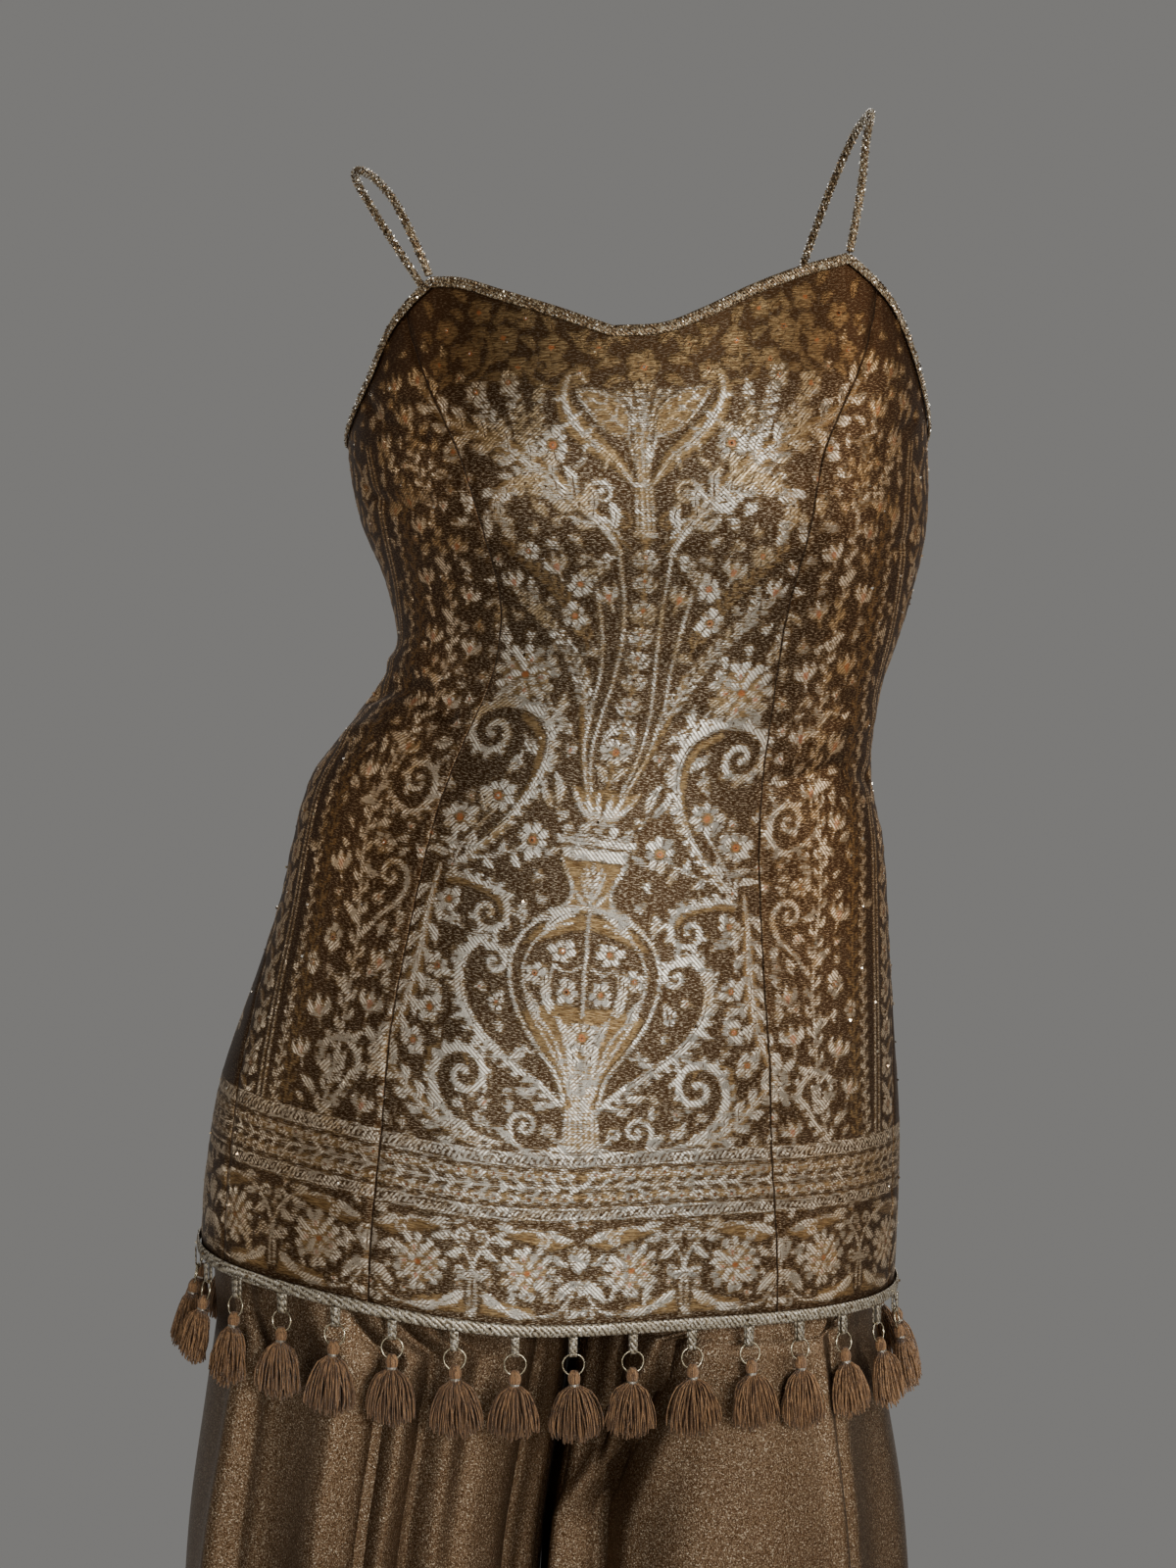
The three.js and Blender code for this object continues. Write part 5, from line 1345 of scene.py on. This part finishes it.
# Loose stones sewn on at the flower hearts and sprinkled over the front
stoneSetup = {"radius": 1.15, "small": 0.7, "fewest": 9.0, "reach": 232.0, "heartShare": 0.55,
              "stray": 210, "tries": 1500, "across": 210, "levels": (-528, -90), "lift": 0.45, "smokeShare": 0.3}


def clothPoint(across, level, outBy):
    # the place on the kurti that is so far round the cloth at that level
    angles = np.array([np.interp(x, acrossCloth(np.full(361, z), arcAngles), arcAngles) for x,
        z in zip(across, level)])
    level = np.asarray(level, float)
    return kurtiPoint(level, angles) + kurtiOutward(level,
        angles) * (creaseHeight(np.asarray(across, float), level) + outBy)[..., None], angles


def makeStones(setup):
    places = [curve.mean(axis=0)[:2] for ink, kind, curve in frontPattern if ink == "copperEye" and kind == "shape"]
    places = [p for p in places if abs(p[0]) < setup["reach"] and chance.random() < setup["heartShare"]]
    hearts = len(places)
    spare = np.column_stack([chance.uniform(-setup["across"], setup["across"], setup["tries"]),
                             chance.uniform(*setup["levels"], setup["tries"])])
    grid = inkFields(spare[:, 0], spare[:, 1], frontPattern)
    for p in spare[(grid["silverLine"] < 0.6) | (grid["goldFill"] < -0.8)]:
        clear = all((p[0] - q[0]) ** 2 + (p[1] - q[1]) ** 2 > setup["fewest"] ** 2 for q in places)
        if len(places) < hearts + setup["stray"] and clear:
            places.append(p)
    places = np.array(places)
    points, angles = clothPoint(places[:, 0], places[:, 1], setup["lift"])
    keep = (places[:, 1] < topLevelAt(angles) - 9) & (places[:, 1] > hemLevelAt(angles) + bandSetup["top"] + 3)
    band = []
    for height, gap in ((66.0, 24.0), (95.5, 24.0), (37.0, 28.6)):
        ring = edgeFrames(lambda a: hemLevelAt(a) + height, gap)
        band.append(ring["point"] + ring["out"] * setup["lift"])
    centres = np.vstack([points[keep]] + band)
    sizes = np.where(np.arange(len(centres)) % 3 == 0, setup["radius"], setup["small"])
    stones = scatterBeads("looseStones", centres, sizes, [silverBeads, smokeBeads],
        (chance.random(len(centres)) < setup["smokeShare"]).astype(np.int32))


# Edges: points, outward and along at equal steps round the top edge or the hem
def edgeFrames(levelAt, spacing):
    angles = np.linspace(-180, 180, 7201)
    points = kurtiPoint(levelAt(angles), angles)
    length = lengthAlong(points)
    count = int(round(length[-1] / spacing))
    angle = np.interp(np.arange(count) * length[-1] / count, length, angles)
    level = levelAt(angle)
    point = kurtiPoint(level, angle)
    out = kurtiOutward(level, angle)
    along = unit(np.roll(point, -1, axis=0) - np.roll(point, 1, axis=0))
    return {"angle": angle, "level": level, "point": point, "out": out, "along": along,
            "down": unit(np.cross(along, out)), "length": length[-1]}


def tubeFaces(rings, corners, flip=False):
    # an open tube of rings by corners, with a cap at each end
    faces = []
    for i in range(rings - 1):
        for k in range(corners):
            a, b = i * corners + k, i * corners + (k + 1) % corners
            faces.append([a, a + corners, b + corners, b] if flip else [a, b, b + corners, a + corners])
    caps = [list(range(corners))[::-1], [(rings - 1) * corners + k for k in range(corners)]]
    return faces + [cap[::-1] if flip else cap for cap in caps]


def sweepRing(sectionsAt):
    # closed tube from an array of stations by corners
    stations, corners = sectionsAt.shape[:2]
    ids = np.arange(stations * corners).reshape(stations, corners)
    ahead, turned = np.roll(ids, -1, axis=0), np.roll(ids, -1, axis=1)
    both = np.roll(ahead, -1, axis=1)
    return sectionsAt.reshape(-1, 3), np.stack([ids, ahead, both, turned], -1).reshape(-1, 4)


beadShape = np.array([[1, 0, 0], [-1, 0, 0], [0, 1, 0], [0, -1, 0], [0, 0, 1], [0, 0, -1]], float)
beadFaces = np.array([[0, 2, 4], [2, 1, 4], [1, 3, 4], [3, 0, 4], [2, 0, 5], [1, 2, 5], [3, 1, 5], [0, 3, 5]])


def scatterBeads(name, centres, radii, materials, pick=None):
    # small eight-sided cut beads, turned at random, in one mesh
    centres = np.asarray(centres, float)
    count = len(centres)
    radii = np.broadcast_to(np.asarray(radii, float), (count,))
    q = unit(chance.normal(size=(count, 4)))
    w, x, y, z = q[:, 0], q[:, 1], q[:, 2], q[:, 3]
    turn = np.stack([np.stack([1 - 2 * (y * y + z * z), 2 * (x * y - z * w), 2 * (x * z + y * w)], -1),
                     np.stack([2 * (x * y + z * w), 1 - 2 * (x * x + z * z), 2 * (y * z - x * w)], -1),
                     np.stack([2 * (x * z - y * w), 2 * (y * z + x * w), 1 - 2 * (x * x + y * y)], -1)], 1)
    points = centres[:, None, :] + np.einsum("nij,kj->nki", turn, beadShape) * radii[:, None, None]
    faces = (beadFaces[None] + 6 * np.arange(count)[:, None, None]).reshape(-1, 3)
    slots = None if pick is None else np.repeat(pick, 8)
    return makePiece(name, points.reshape(-1, 3), faces, materials, slots, smooth=False)


makeStones(stoneSetup)
print("loose stones")

bindingSetup = {"width": 6.0, "thickness": 1.4, "overhang": 0.8, "clearance": 0.4, "spacing": 1.3, "beadSpacing": 2.1,
                "beadRadius": 0.76, "beadRow": 1.9, "beadJitter": 0.12, "smokeShare": 0.4, "sides": 12,
                "ripple": 0.12}


def makeBinding(setup):
    path = edgeFrames(topLevelAt, setup["spacing"])
    middle = setup["width"] / 2 - setup["overhang"]
    turns = np.linspace(0, 2 * np.pi, setup["sides"], endpoint=False)
    ripple = setup["ripple"] * np.sin(np.arange(len(path["angle"])) * 1.9)
    outBy = setup["clearance"] + setup["thickness"] / 2 + (setup["thickness"] / 2) * np.sin(turns)
    downBy = middle + setup["width"] / 2 * np.cos(turns)
    rings = (path["point"][:, None] + path["out"][:, None] * (outBy + ripple[:, None])[..., None]
             + path["down"][:, None] * downBy[None, :, None])
    points, faces = sweepRing(rings)
    ribbon = makePiece("topBinding", points, faces, [zariTrim])
    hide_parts("top_binding")
    beads = edgeFrames(topLevelAt, setup["beadSpacing"])
    centres = []
    for rowDown in (-setup["beadRow"], 0.0, setup["beadRow"]):
        stagger = 0.5 if rowDown == 0.0 else 0.0
        place = beads["point"] + beads["along"] * stagger * setup["beadSpacing"]
        outBy = setup["clearance"] + setup["thickness"] + (0.05 if rowDown == 0.0 else -0.1)
        centres.append(place + beads["out"] * outBy + beads["down"] * (middle + rowDown))
    centres = np.vstack(centres) + chance.normal(0, setup["beadJitter"], (3 * len(beads["angle"]), 3))
    pick = (chance.random(len(centres)) < setup["smokeShare"]).astype(np.int32)
    trim = scatterBeads("bindingBeads", centres, setup["beadRadius"], [silverBeads, smokeBeads], pick)


makeBinding(bindingSetup)
print("top binding")

strapSetup = {
    "diameter": 4.8, "sides": 12, "steps": 240, "beadRadius": 0.72, "beadSpacing": 1.5, "rows": 5,
    "coreInset": 0.45, "beadLift": 0.12, "twist": 0.35, "smokeShare": 0.35,
    "strapLeft": {"node": "strap_left", "sign": -1, "rise": (1.2, 2.3),
                  "rows": [(-110, -68, -42), (-120, -50, -26), (-132, -26, -15), (-141, 2, -13), (-140, 28, -22),
                           (-122, 60, -54), (-96, 82, -94)]},
    "strapRight": {"node": "strap_right", "sign": 1, "rise": (1.3, 1.3),
                   "rows": [(132, -62, -25), (136, -46, 4), (140, -20, 17), (140, 6, 17), (133, 34, 4),
                            (119, 64, -34), (104, 82, -84)]},
}


def strapPath(strap):
    def foot(angle):
        level = topLevelAt(np.array(float(angle)))
        out = kurtiOutward(level, angle)
        return kurtiPoint(level, angle) + out * (bindingSetup["clearance"] + bindingSetup["thickness"] / 2)

    rows = np.array(strap["rows"], float)
    front = foot(strap["sign"] * kurtiForm["strapAngle"])
    back = foot(strap["sign"] * kurtiForm["strapBackAngle"])
    front = front + unit(rows[0] - front) * strap["rise"][0]
    back = back + unit(rows[-1] - back) * strap["rise"][1]
    path = smoothCurve(np.vstack([front, rows, back]), 40)
    length = lengthAlong(path)
    steps = np.linspace(0, length[-1], strapSetup["steps"])
    return pointAt(steps, length, path), length[-1]


def pathFrames(path):
    along = unit(np.gradient(path, axis=0))
    side = unit(np.cross(along, np.array([0.05, 0.3, 1.0])))
    return along, side, np.cross(side, along)


def roundPath(path, side, up, radius, sides):
    turns = np.linspace(0, 2 * np.pi, sides, endpoint=False)
    return path[:, None] + radius * (side[:, None] * np.cos(turns)[None, :, None]
                                     + up[:, None] * np.sin(turns)[None, :, None])


def makeStrap(name, strap):
    path, length = strapPath(strap)
    side, up = pathFrames(path)[1:]
    radius = strapSetup["diameter"] / 2 - strapSetup["coreInset"]
    rings = roundPath(path, side, up, radius, strapSetup["sides"])
    count = len(path)
    core = makePiece(name, rings.reshape(-1, 3), tubeFaces(*rings.shape[:2]), [zariTrim])
    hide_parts(strap["node"])
    beadCount = int(length / strapSetup["beadSpacing"])
    at = np.linspace(1, count - 2, beadCount)
    centres = []
    for row in range(strapSetup["rows"]):
        turn = 2 * np.pi * row / strapSetup["rows"] + at * strapSetup["twist"]
        spine, sideAt, upAt = (pointAt(at, np.arange(count), grid) for grid in (path, side, up))
        centres.append(spine + (radius + strapSetup["beadLift"]) * (sideAt * np.cos(turn)[:, None]
                                                                    + upAt * np.sin(turn)[:, None]))
    centres = np.vstack(centres)
    pick = (chance.random(len(centres)) < strapSetup["smokeShare"]).astype(np.int32)
    trim = scatterBeads(name + "Beads", centres, strapSetup["beadRadius"], [silverBeads, smokeBeads], pick)


for strapName in ("strapLeft", "strapRight"):
    makeStrap(strapName, strapSetup[strapName])
print("straps")

cordSetup = {"height": 7.0, "thickness": 2.0, "overhang": 0.5, "clearance": 0.8, "spacing": 0.85, "corners": 10,
             "slantStep": 3.4, "beadEvery": 24.0, "tassels": 32, "firstAngle": -1.0, "tapeWidth": 4.5,
             "tapeThickness": 0.8, "loopDrop": 11.0, "holeDepth": 1.8, "rib": 0.35, "stoneRadius": 1.15,
             "stoneLift": 0.15, "smokeShare": 0.4}


def hemPlaces(count, start):
    angles = np.linspace(start, start + 360, 721)
    points = kurtiPoint(kurtiForm["hemLevel"], angles)
    length = lengthAlong(points)
    picks = [int(np.argmax(length >= length[-1] * k / count)) for k in range(count)]
    return wrapAngle(angles[picks])


def hemFrame(angle):
    level = hemLevelAt(angle)
    out = kurtiOutward(level, angle)
    flat = unit(np.array([out[0], out[1], 0.0]))
    along = np.array([flat[1], -flat[0], 0.0])
    place = kurtiPoint(level, angle) + out * (cordSetup["clearance"] + cordSetup["thickness"] / 2)
    place = place - np.array([0, 0, cordSetup["overhang"]])
    return place, along, flat


def tapeLoop(place, along, flat, setup):
    # flat tape bent double: down the front, round the ring wire and up the back
    depth = setup["holeDepth"] / 2 + setup["tapeThickness"] / 2
    bottom = -setup["loopDrop"] + setup["tapeThickness"] / 2 + depth
    line = [(depth, z) for z in np.linspace(0.3, bottom, 8)]
    line += [(depth * math.cos(t), bottom - depth * math.sin(t)) for t in np.linspace(0.3, math.pi - 0.3, 7)]
    line += [(-depth, z) for z in np.linspace(bottom, 0.3, 8)]
    line = np.array(line)
    tangent = unit(np.gradient(line, axis=0))
    normal = np.stack([-tangent[:, 1], tangent[:, 0]], -1)
    corners = []
    for sideBy, thick in ((-0.5, -0.5), (0.5, -0.5), (0.5, 0.5), (-0.5, 0.5)):
        shifted = line + normal * thick * setup["tapeThickness"]
        wide = setup["tapeWidth"] * (0.86 + 0.14 * np.abs(np.linspace(-1, 1, len(line)))) * sideBy
        corners.append(place + shifted[:, :1] * flat + shifted[:, 1:] * np.array([0, 0, 1.0]) + wide[:, None] * along)
    points = np.stack(corners, 1).reshape(-1, 3)
    return points, tubeFaces(len(line), len(corners), flip=True)


def makeHemCord(setup):
    path = edgeFrames(hemLevelAt, setup["spacing"])
    steps = np.arange(len(path["angle"])) * setup["spacing"]
    turns = np.linspace(0, 2 * np.pi, setup["corners"], endpoint=False)
    upBy = -setup["overhang"] + setup["height"] / 2 + (setup["height"] / 2) * np.sin(turns)
    slant = np.sin(2 * np.pi * (steps[:, None] + upBy[None, :] * 0.75) / setup["slantStep"])
    half = setup["thickness"] / 2
    outBy = setup["clearance"] + half + (half - setup["rib"] + setup["rib"] * slant) * np.cos(turns)[None, :]
    ring = kurtiPoint(path["level"][:, None] + upBy[None, :], path["angle"][:, None])
    points, faces = sweepRing(ring + path["out"][:, None] * outBy[..., None])
    faces = faces[:, ::-1].tolist()
    points = [points]
    total = len(points[0])
    for angle in hemPlaces(setup["tassels"], setup["firstAngle"]):
        loopPoints, loopFaces = tapeLoop(*hemFrame(angle), setup)
        faces += [[i + total for i in face] for face in loopFaces]
        points.append(loopPoints)
        total += len(loopPoints)
    cord = makePiece("hemCord", np.vstack(points), faces, [silverCord])
    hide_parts("hem_cord")
    beads = edgeFrames(hemLevelAt, setup["beadEvery"])
    centres = kurtiPoint(beads["level"] + setup["height"] / 2, beads["angle"])
    centres = centres + beads["out"] * (setup["clearance"] + setup["thickness"] + setup["stoneLift"])
    trim = scatterBeads("cordStones", centres, setup["stoneRadius"], [silverBeads, smokeBeads],
        (chance.random(len(centres)) < setup["smokeShare"]).astype(np.int32))


makeHemCord(cordSetup)
print("hem cord and tape loops")

tasselSetup = {"ringDiameter": 13.0, "ringWire": 1.1, "skirtLength": 33.0, "skirtWidth": 32.5, "skirtDepth": 17.0,
               "headLength": 8.0, "headOverRing": 3.2, "ringPlay": 0.5, "leanAtFront": 2.0, "leanAtSide": 12.0,
               "swing": [2, -3, 1, 3, -2, 0, 2, -1], "lengthShare": [1, 0.95, 1.03, 0.98, 1.04, 0.97],
               "widthShare": [0.98, 0.9, 0.98, 0.93, 0.92, 0.88, 0.96],
               "strands": 118, "strandWidth": 0.95, "clothSide": 0.58, "openSide": 0.9, "headStrands": 18,
               "headStrandWidth": 1.25, "ties": 3, "tieRadius": 2.75, "tieWidth": 0.62, "tieStep": 0.55}


def tubeAlong(path, widths, sides):
    along = unit(np.gradient(path, axis=0))
    side = unit(np.cross(along, np.array([0.31, 1.0, 0.17])))
    rings = roundPath(path, side, np.cross(side, along), widths[:, None, None] / 2, sides)
    return rings.reshape(-1, 3), tubeFaces(len(path), sides)


def gather(parts):
    points, faces, total = [], [], 0
    for partPoints, partFaces in parts:
        points.append(partPoints)
        faces += [[i + total for i in face] for face in partFaces]
        total += len(partPoints)
    return np.vstack(points), faces


def torus(radius, wire, segments, sides, centre, squash=1.0, plane="xz"):
    around = np.linspace(0, 2 * np.pi, segments, endpoint=False)
    turns = np.linspace(0, 2 * np.pi, sides, endpoint=False)
    reach = radius + wire / 2 * np.cos(turns)[None, :]
    a, b, c = reach * np.cos(around)[:, None], reach * np.sin(around)[:, None] * squash, np.broadcast_to(
        wire / 2 * np.sin(turns)[None, :], (segments, sides))
    rings = np.stack([a, c, b], -1) if plane == "xz" else np.stack([a, b, c], -1)
    points, faces = sweepRing(rings + np.asarray(centre, float))
    return points, (faces if plane == "xz" else faces[:, ::-1]).tolist()


def tasselParts(setup, share, wide):
    # local axes: x along the hem, y outward, z up from the ring's top
    headTop = -setup["ringDiameter"] + setup["headOverRing"]
    neck = headTop - setup["headLength"]
    strands = []
    for i in range(setup["strands"]):
        turn = 2 * np.pi * (i * 0.618034 % 1.0)
        spread = math.sqrt((i + 0.5) / setup["strands"])
        length = setup["skirtLength"] * share * (0.86 + 0.14 * chance.random()) * (1.0 - 0.2 * spread ** 2)
        tipX = math.cos(turn) * spread * setup["skirtWidth"] * wide / 2 * 0.97 + chance.normal(0, 0.5)
        # the side against the cloth lies flatter
        tipY = math.sin(turn) * spread * setup["skirtDepth"] / 2 * setup["openSide" if math.sin(turn) > 0 else "clothSide"]
        t = np.linspace(0, 1, 7)
        opened = np.sin(t * np.pi / 2) ** 0.5
        wave = chance.normal(0, 0.55, 2)[:, None] * np.sin(t * np.pi * (1.0 + 1.4 * chance.random()))
        rootX, rootY = math.cos(turn) * spread * 2.5, math.sin(turn) * spread * 2.5
        path = np.stack([rootX + (tipX - rootX) * opened + wave[0], rootY + (tipY - rootY) * opened + wave[1],
                         neck + 0.6 - (length + 0.6) * t], -1)
        widths = setup["strandWidth"] * (0.85 + 0.3 * chance.random()) * np.array([0.75, 0.95, 1, 1, 1, 1, 0.85])
        strands.append(tubeAlong(path, widths, 3))
    # the head: strands folded over the ring and drawn in at the neck
    for i in range(setup["headStrands"]):
        turn = 2 * np.pi * i / setup["headStrands"]
        t = np.linspace(0, 1, 6)
        swell = 1.15 + 1.75 * np.sin(np.clip(t * 1.12, 0, 1) * np.pi * 0.83) ** 0.8
        path = np.stack([math.cos(turn) * swell, math.sin(turn) * swell * 0.92,
            headTop + 0.3 - (setup["headLength"] - 0.2) * t], -1)
        strands.append(tubeAlong(path, np.full(6, setup["headStrandWidth"]), 4))
    strands.append(tubeAlong(np.stack([np.zeros(4), np.zeros(4), np.linspace(headTop, neck - 1.5, 4)], -1),
        np.array([3.0, 4.6, 4.4, 3.6]), 8))
    ring = [torus(setup["ringDiameter"] / 2 - setup["ringWire"] / 2, setup["ringWire"] * 0.9, 28, 6,
                  (0, 0, -setup["ringDiameter"] / 2 + setup["ringWire"] / 2))]
    tie = [torus(setup["tieRadius"], setup["tieWidth"], 14, 5, (0, 0, neck + 1.1 - setup["tieStep"] * k), 0.95,
                 "xy") for k in range(setup["ties"])]
    return gather(strands), gather(ring), gather(tie)


def turnAbout(axis, degrees):
    return np.array(Matrix.Rotation(math.radians(degrees), 3, axis))


def makeTassels(setup):
    for i, angle in enumerate(hemPlaces(cordSetup["tassels"], cordSetup["firstAngle"])):
        place, along, flat = hemFrame(angle)
        basis = np.stack([along, flat, np.array([0, 0, 1.0])], 1)
        sideways = abs(math.sin(math.radians(angle)))
        lean = setup["leanAtFront"] + (setup["leanAtSide"] - setup["leanAtFront"]) * sideways
        turn = turnAbout("X", lean) @ turnAbout("Y", setup["swing"][i % 8])
        fall = -cordSetup["loopDrop"] + cordSetup["tapeThickness"] + setup["ringWire"] / 2 + setup["ringPlay"]
        drop = np.array([0, 0, fall])
        yarn, ring, tie = tasselParts(setup, setup["lengthShare"][i % 6], setup["widthShare"][i % 7])
        number = f"{i + 1:02d}"
        for label, (points, faces), material, slot in (("Yarn", yarn, cottonFloss, "yarn"),
                ("Ring", ring, paleGoldWire, "ring_metal"), ("Tie", tie, silverThread, "ring_metal")):
            placed = place + (drop + points @ turn.T) @ basis.T
            piece = makePiece("tassel" + number + label, placed, faces, [material])
            if label == "Yarn":
                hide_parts("tassel_" + number)


makeTassels(tasselSetup)
print("tassels")

# Palazzo trousers
trouserSetup = {"wall": 1.2, "waist": -345.0, "bandHeight": 30.0, "bandThickness": 2.6, "bandSteps": 420,
    "crotch": -648.0, "curveStart": -530.0, "hem": -1410.0, "lastHip": -640.0, "hipEase": -600.0, "easeAtWaist": 13.0,
    "easeAtHip": 3.5, "squareness": 2.2, "seamHalfAngle": 0.08, "seamHalfShare": 0.0008, "frontGrid": (151, 206),
    "backGrid": (151, 106), "frontFlat": (0.44, 1.06), "frontArea": 0.368, "backFlat": (0.40, 1.06),
    "backArea": 0.343}
legs = table(["level", "leftOuter", "gapX", "gapHalf", "rightOuter", "depth", "leftY", "rightY", "fold"], [
    [-648, -223, -21, 0.3, 149, 98, -12, 13, 0.1],
    [-700, -231, -28, 0.15, 157, 101, -12, 12, 0.4],
    [-760, -240, -37, 0.15, 167, 104, -11, 11, 0.8],
    [-850, -247, -43, 0.2, 174, 107, -10, 9, 1.2],
    [-1000, -254, -43, 1.5, 182, 111, -8, 7, 1.5],
    [-1200, -263, -39, 5, 192, 116, -6, 5, 1.8],
    [-1410, -272, -35, 7, 202, 121, -4, 3, 2.1]])
foldRows = {
    -1: [(-50, 9, 6), (-28, 10, -4), (-6, 12, 6), (18, 8, -5), (30, 8, 5), (58, 10, -6), (74, 8, 3), (112, 12, 5),
         (135, 11, -5), (158, 12, 5), (186, 12, -5), (212, 12, 5), (238, 12, -5)],
    1: [(-62, 9, 4), (-42, 8, -7), (-12, 16, 4), (32, 11, 4), (52, 10, -4), (72, 9, 3), (110, 12, -5), (133, 12, 5),
        (157, 12, -5), (181, 12, 5), (206, 12, -5), (232, 12, 5)]}
# narrower folds that break the big ones: leg, angle, half width, height, top level, drift in degrees
fineFolds = [(-1, -51, 4.2, 4.5, -600, 2), (-1, -44, 3.0, -4.5, -600, 2), (-1, -33, 8, -5, -600, 0),
    (-1, -14, 6.5, 8, -610, 0), (-1, -1, 2.8, -5, -600, 1), (-1, 7, 3.8, 4, -600, 0), (-1, 14.5, 3.0, -4.5, -600, 0),
    (-1, 22, 4.0, 4, -600, 0), (-1, 29, 3.6, -3, -600, 0), (-1, 42, 8, 4, -600, 1), (-1, 54, 2.8, -6, -600, 0),
    (-1, 63, 3.8, 5, -600, 2), (-1, 73, 2.6, -5, -600, 0), (1, -76, 4.0, 1.5, -600, 0), (1, -66, 2.6, -5, -600, 3),
    (1, -57, 3.4, 5, -600, 0), (1, -15, 2.6, -11, -630, -32), (1, -24, 4.0, 6, -640, -32), (1, -6, 5.0, 4, -640, -28),
    (1, -40, 3.0, -4, -620, -8), (1, 12, 14, 3, -600, 0), (1, 34, 2.8, 5, -600, 1), (1, 39.5, 2.4, -6, -600, 1),
    (1, 60, 13, -4, -600, 0)]


def hipPoint(level, angle):
    setup = trouserSetup
    sheltered = np.maximum(level, setup["lastHip"])
    share = np.clip((sheltered - setup["hipEase"]) / (setup["waist"] - setup["hipEase"]), 0, 1)
    ease = kurtiForm["wall"] + setup["easeAtHip"] + (setup["easeAtWaist"] - setup["easeAtHip"]) * share
    point = kurtiPoint(sheltered, angle) - kurtiOutward(sheltered, angle) * ease[..., None]
    point[..., 2] += level - sheltered
    return point


def legPoint(leg, level, angle):
    def read(column):
        return readTable(legs, "level", column, level)

    inner = read("gapX") + leg * read("gapHalf")
    outer = read("leftOuter") if leg < 0 else read("rightOuter")
    x, y = ovalPoint(angle, np.abs(outer - inner) / 2, read("depth"), trouserSetup["squareness"])
    reach = np.hypot(x, y)
    turned = (angle + 90) % 360 - 90
    height = sum(tall * bell(turned - at, spread) for at, spread, tall in foldRows[leg])
    fold = height * read("fold") * np.minimum(1, np.abs(np.cos(np.radians(angle))) * 2.5)
    for side, at, spread, tall, top, drift in fineFolds:
        if side == leg:
            down = np.clip((top - level) / 120.0, 0, 1)
            fold = fold + tall * down * (2 - down) * bell(turned - at - drift * down, spread) * np.minimum(
                1, np.abs(np.cos(np.radians(angle))) * 2.5)
    centreY = read("leftY") if leg < 0 else read("rightY")
    return np.stack([(inner + outer) / 2 + x * (1 + fold / reach), centreY + y * (1 + fold / reach), level], -1)


def trouserPoint(leg, isFront, share, level):
    setup = trouserSetup
    hipFrom = leg * 90.0
    hipTo = leg * setup["seamHalfAngle"] if isFront else leg * (180 - setup["seamHalfAngle"])
    legTo = -leg * 90.0 if isFront else leg * 270.0
    fall = np.clip((setup["curveStart"] - level) / (setup["curveStart"] - setup["crotch"]), 0, 1)
    blend = 1 - np.sqrt(1 - fall ** 2)
    hip = hipPoint(np.maximum(level, setup["crotch"]), hipFrom + (hipTo - hipFrom) * share)
    onLeg = legPoint(leg, np.minimum(level, setup["crotch"]), hipFrom + (legTo - hipFrom) * share)
    onLeg[..., 2] = level
    return hip * (1 - blend[..., None]) + onLeg * blend[..., None]


def makeTrouserPanel(name, node, leg, isFront):
    setup = trouserSetup
    top = setup["waist"] - setup["bandHeight"] - kurtiForm["seamGap"]
    rows, columns = setup["frontGrid"] if isFront else setup["backGrid"]
    level = np.linspace(setup["hem"], top, rows)[:, None] * np.ones((1, columns))
    share = np.linspace(setup["seamHalfShare"], 1 - setup["seamHalfShare"], columns)[None, :] * np.ones((rows, 1))
    if (leg < 0) != isFront:
        share = share[:, ::-1]
    outer = trouserPoint(leg, isFront, share, level)
    up = np.gradient(outer, axis=0)
    across = np.gradient(outer, axis=1)
    outward = unit(np.cross(across, up))
    faces, rowSteps, columnSteps = shellFaces(rows, columns, 5)
    inner = (outer - outward * setup["wall"])[np.ix_(rowSteps, columnSteps)]
    piece = makePiece(name, np.vstack([outer.reshape(-1, 3), inner.reshape(-1, 3)]), faces, [foilLame])
    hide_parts(node)


for trouserName, trouserNode, legSide, front in (("trousersFrontLeft", "trousers_front_left", -1, True),
        ("trousersFrontRight", "trousers_front_right", 1, True),
        ("trousersBackLeft", "trousers_back_left", -1, False),
        ("trousersBackRight", "trousers_back_right", 1, False)):
    makeTrouserPanel(trouserName, trouserNode, legSide, front)
print("trousers")


def makeWaistband(setup):
    # elastic run through the waist casing: two rows of stitching and fine gathers
    count = setup["bandSteps"]
    angle = np.arange(count) * 360 / count
    gathers = 0.55 * np.sin(angle * 1.31) + 0.35 * np.sin(angle * 2.17 + 1.0)

    def casing(climb, outBy):
        point = hipPoint(np.full(count, setup["waist"] - setup["bandHeight"] * (1 - climb)), angle)
        out = unit(np.stack([point[:, 0], point[:, 1], np.zeros(count)], -1))
        return point + out * np.reshape(outBy, (-1, 1))

    # outward and climb of the face, from the foot to the top
    profile = [(0.0, 0.0), (0.0, 0.06), (0.25, 0.16), (-0.35, 0.3), (0.35, 0.5), (-0.35, 0.7), (0.25, 0.84),
        (0.0, 0.94), (0.0, 1.0)]
    corners = [casing(climb, outBy - 0.5 + gathers * math.sin(math.pi * climb) * 0.6) for outBy, climb in profile]
    corners += [casing(climb, -setup["bandThickness"]) for climb in (1.0, 0.0)]
    points, faces = sweepRing(np.stack(corners, 1))
    band = makePiece("waistband", points, faces[:, ::-1], [foilLame])
    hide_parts("waistband")


makeWaistband(trouserSetup)
print("waistband")

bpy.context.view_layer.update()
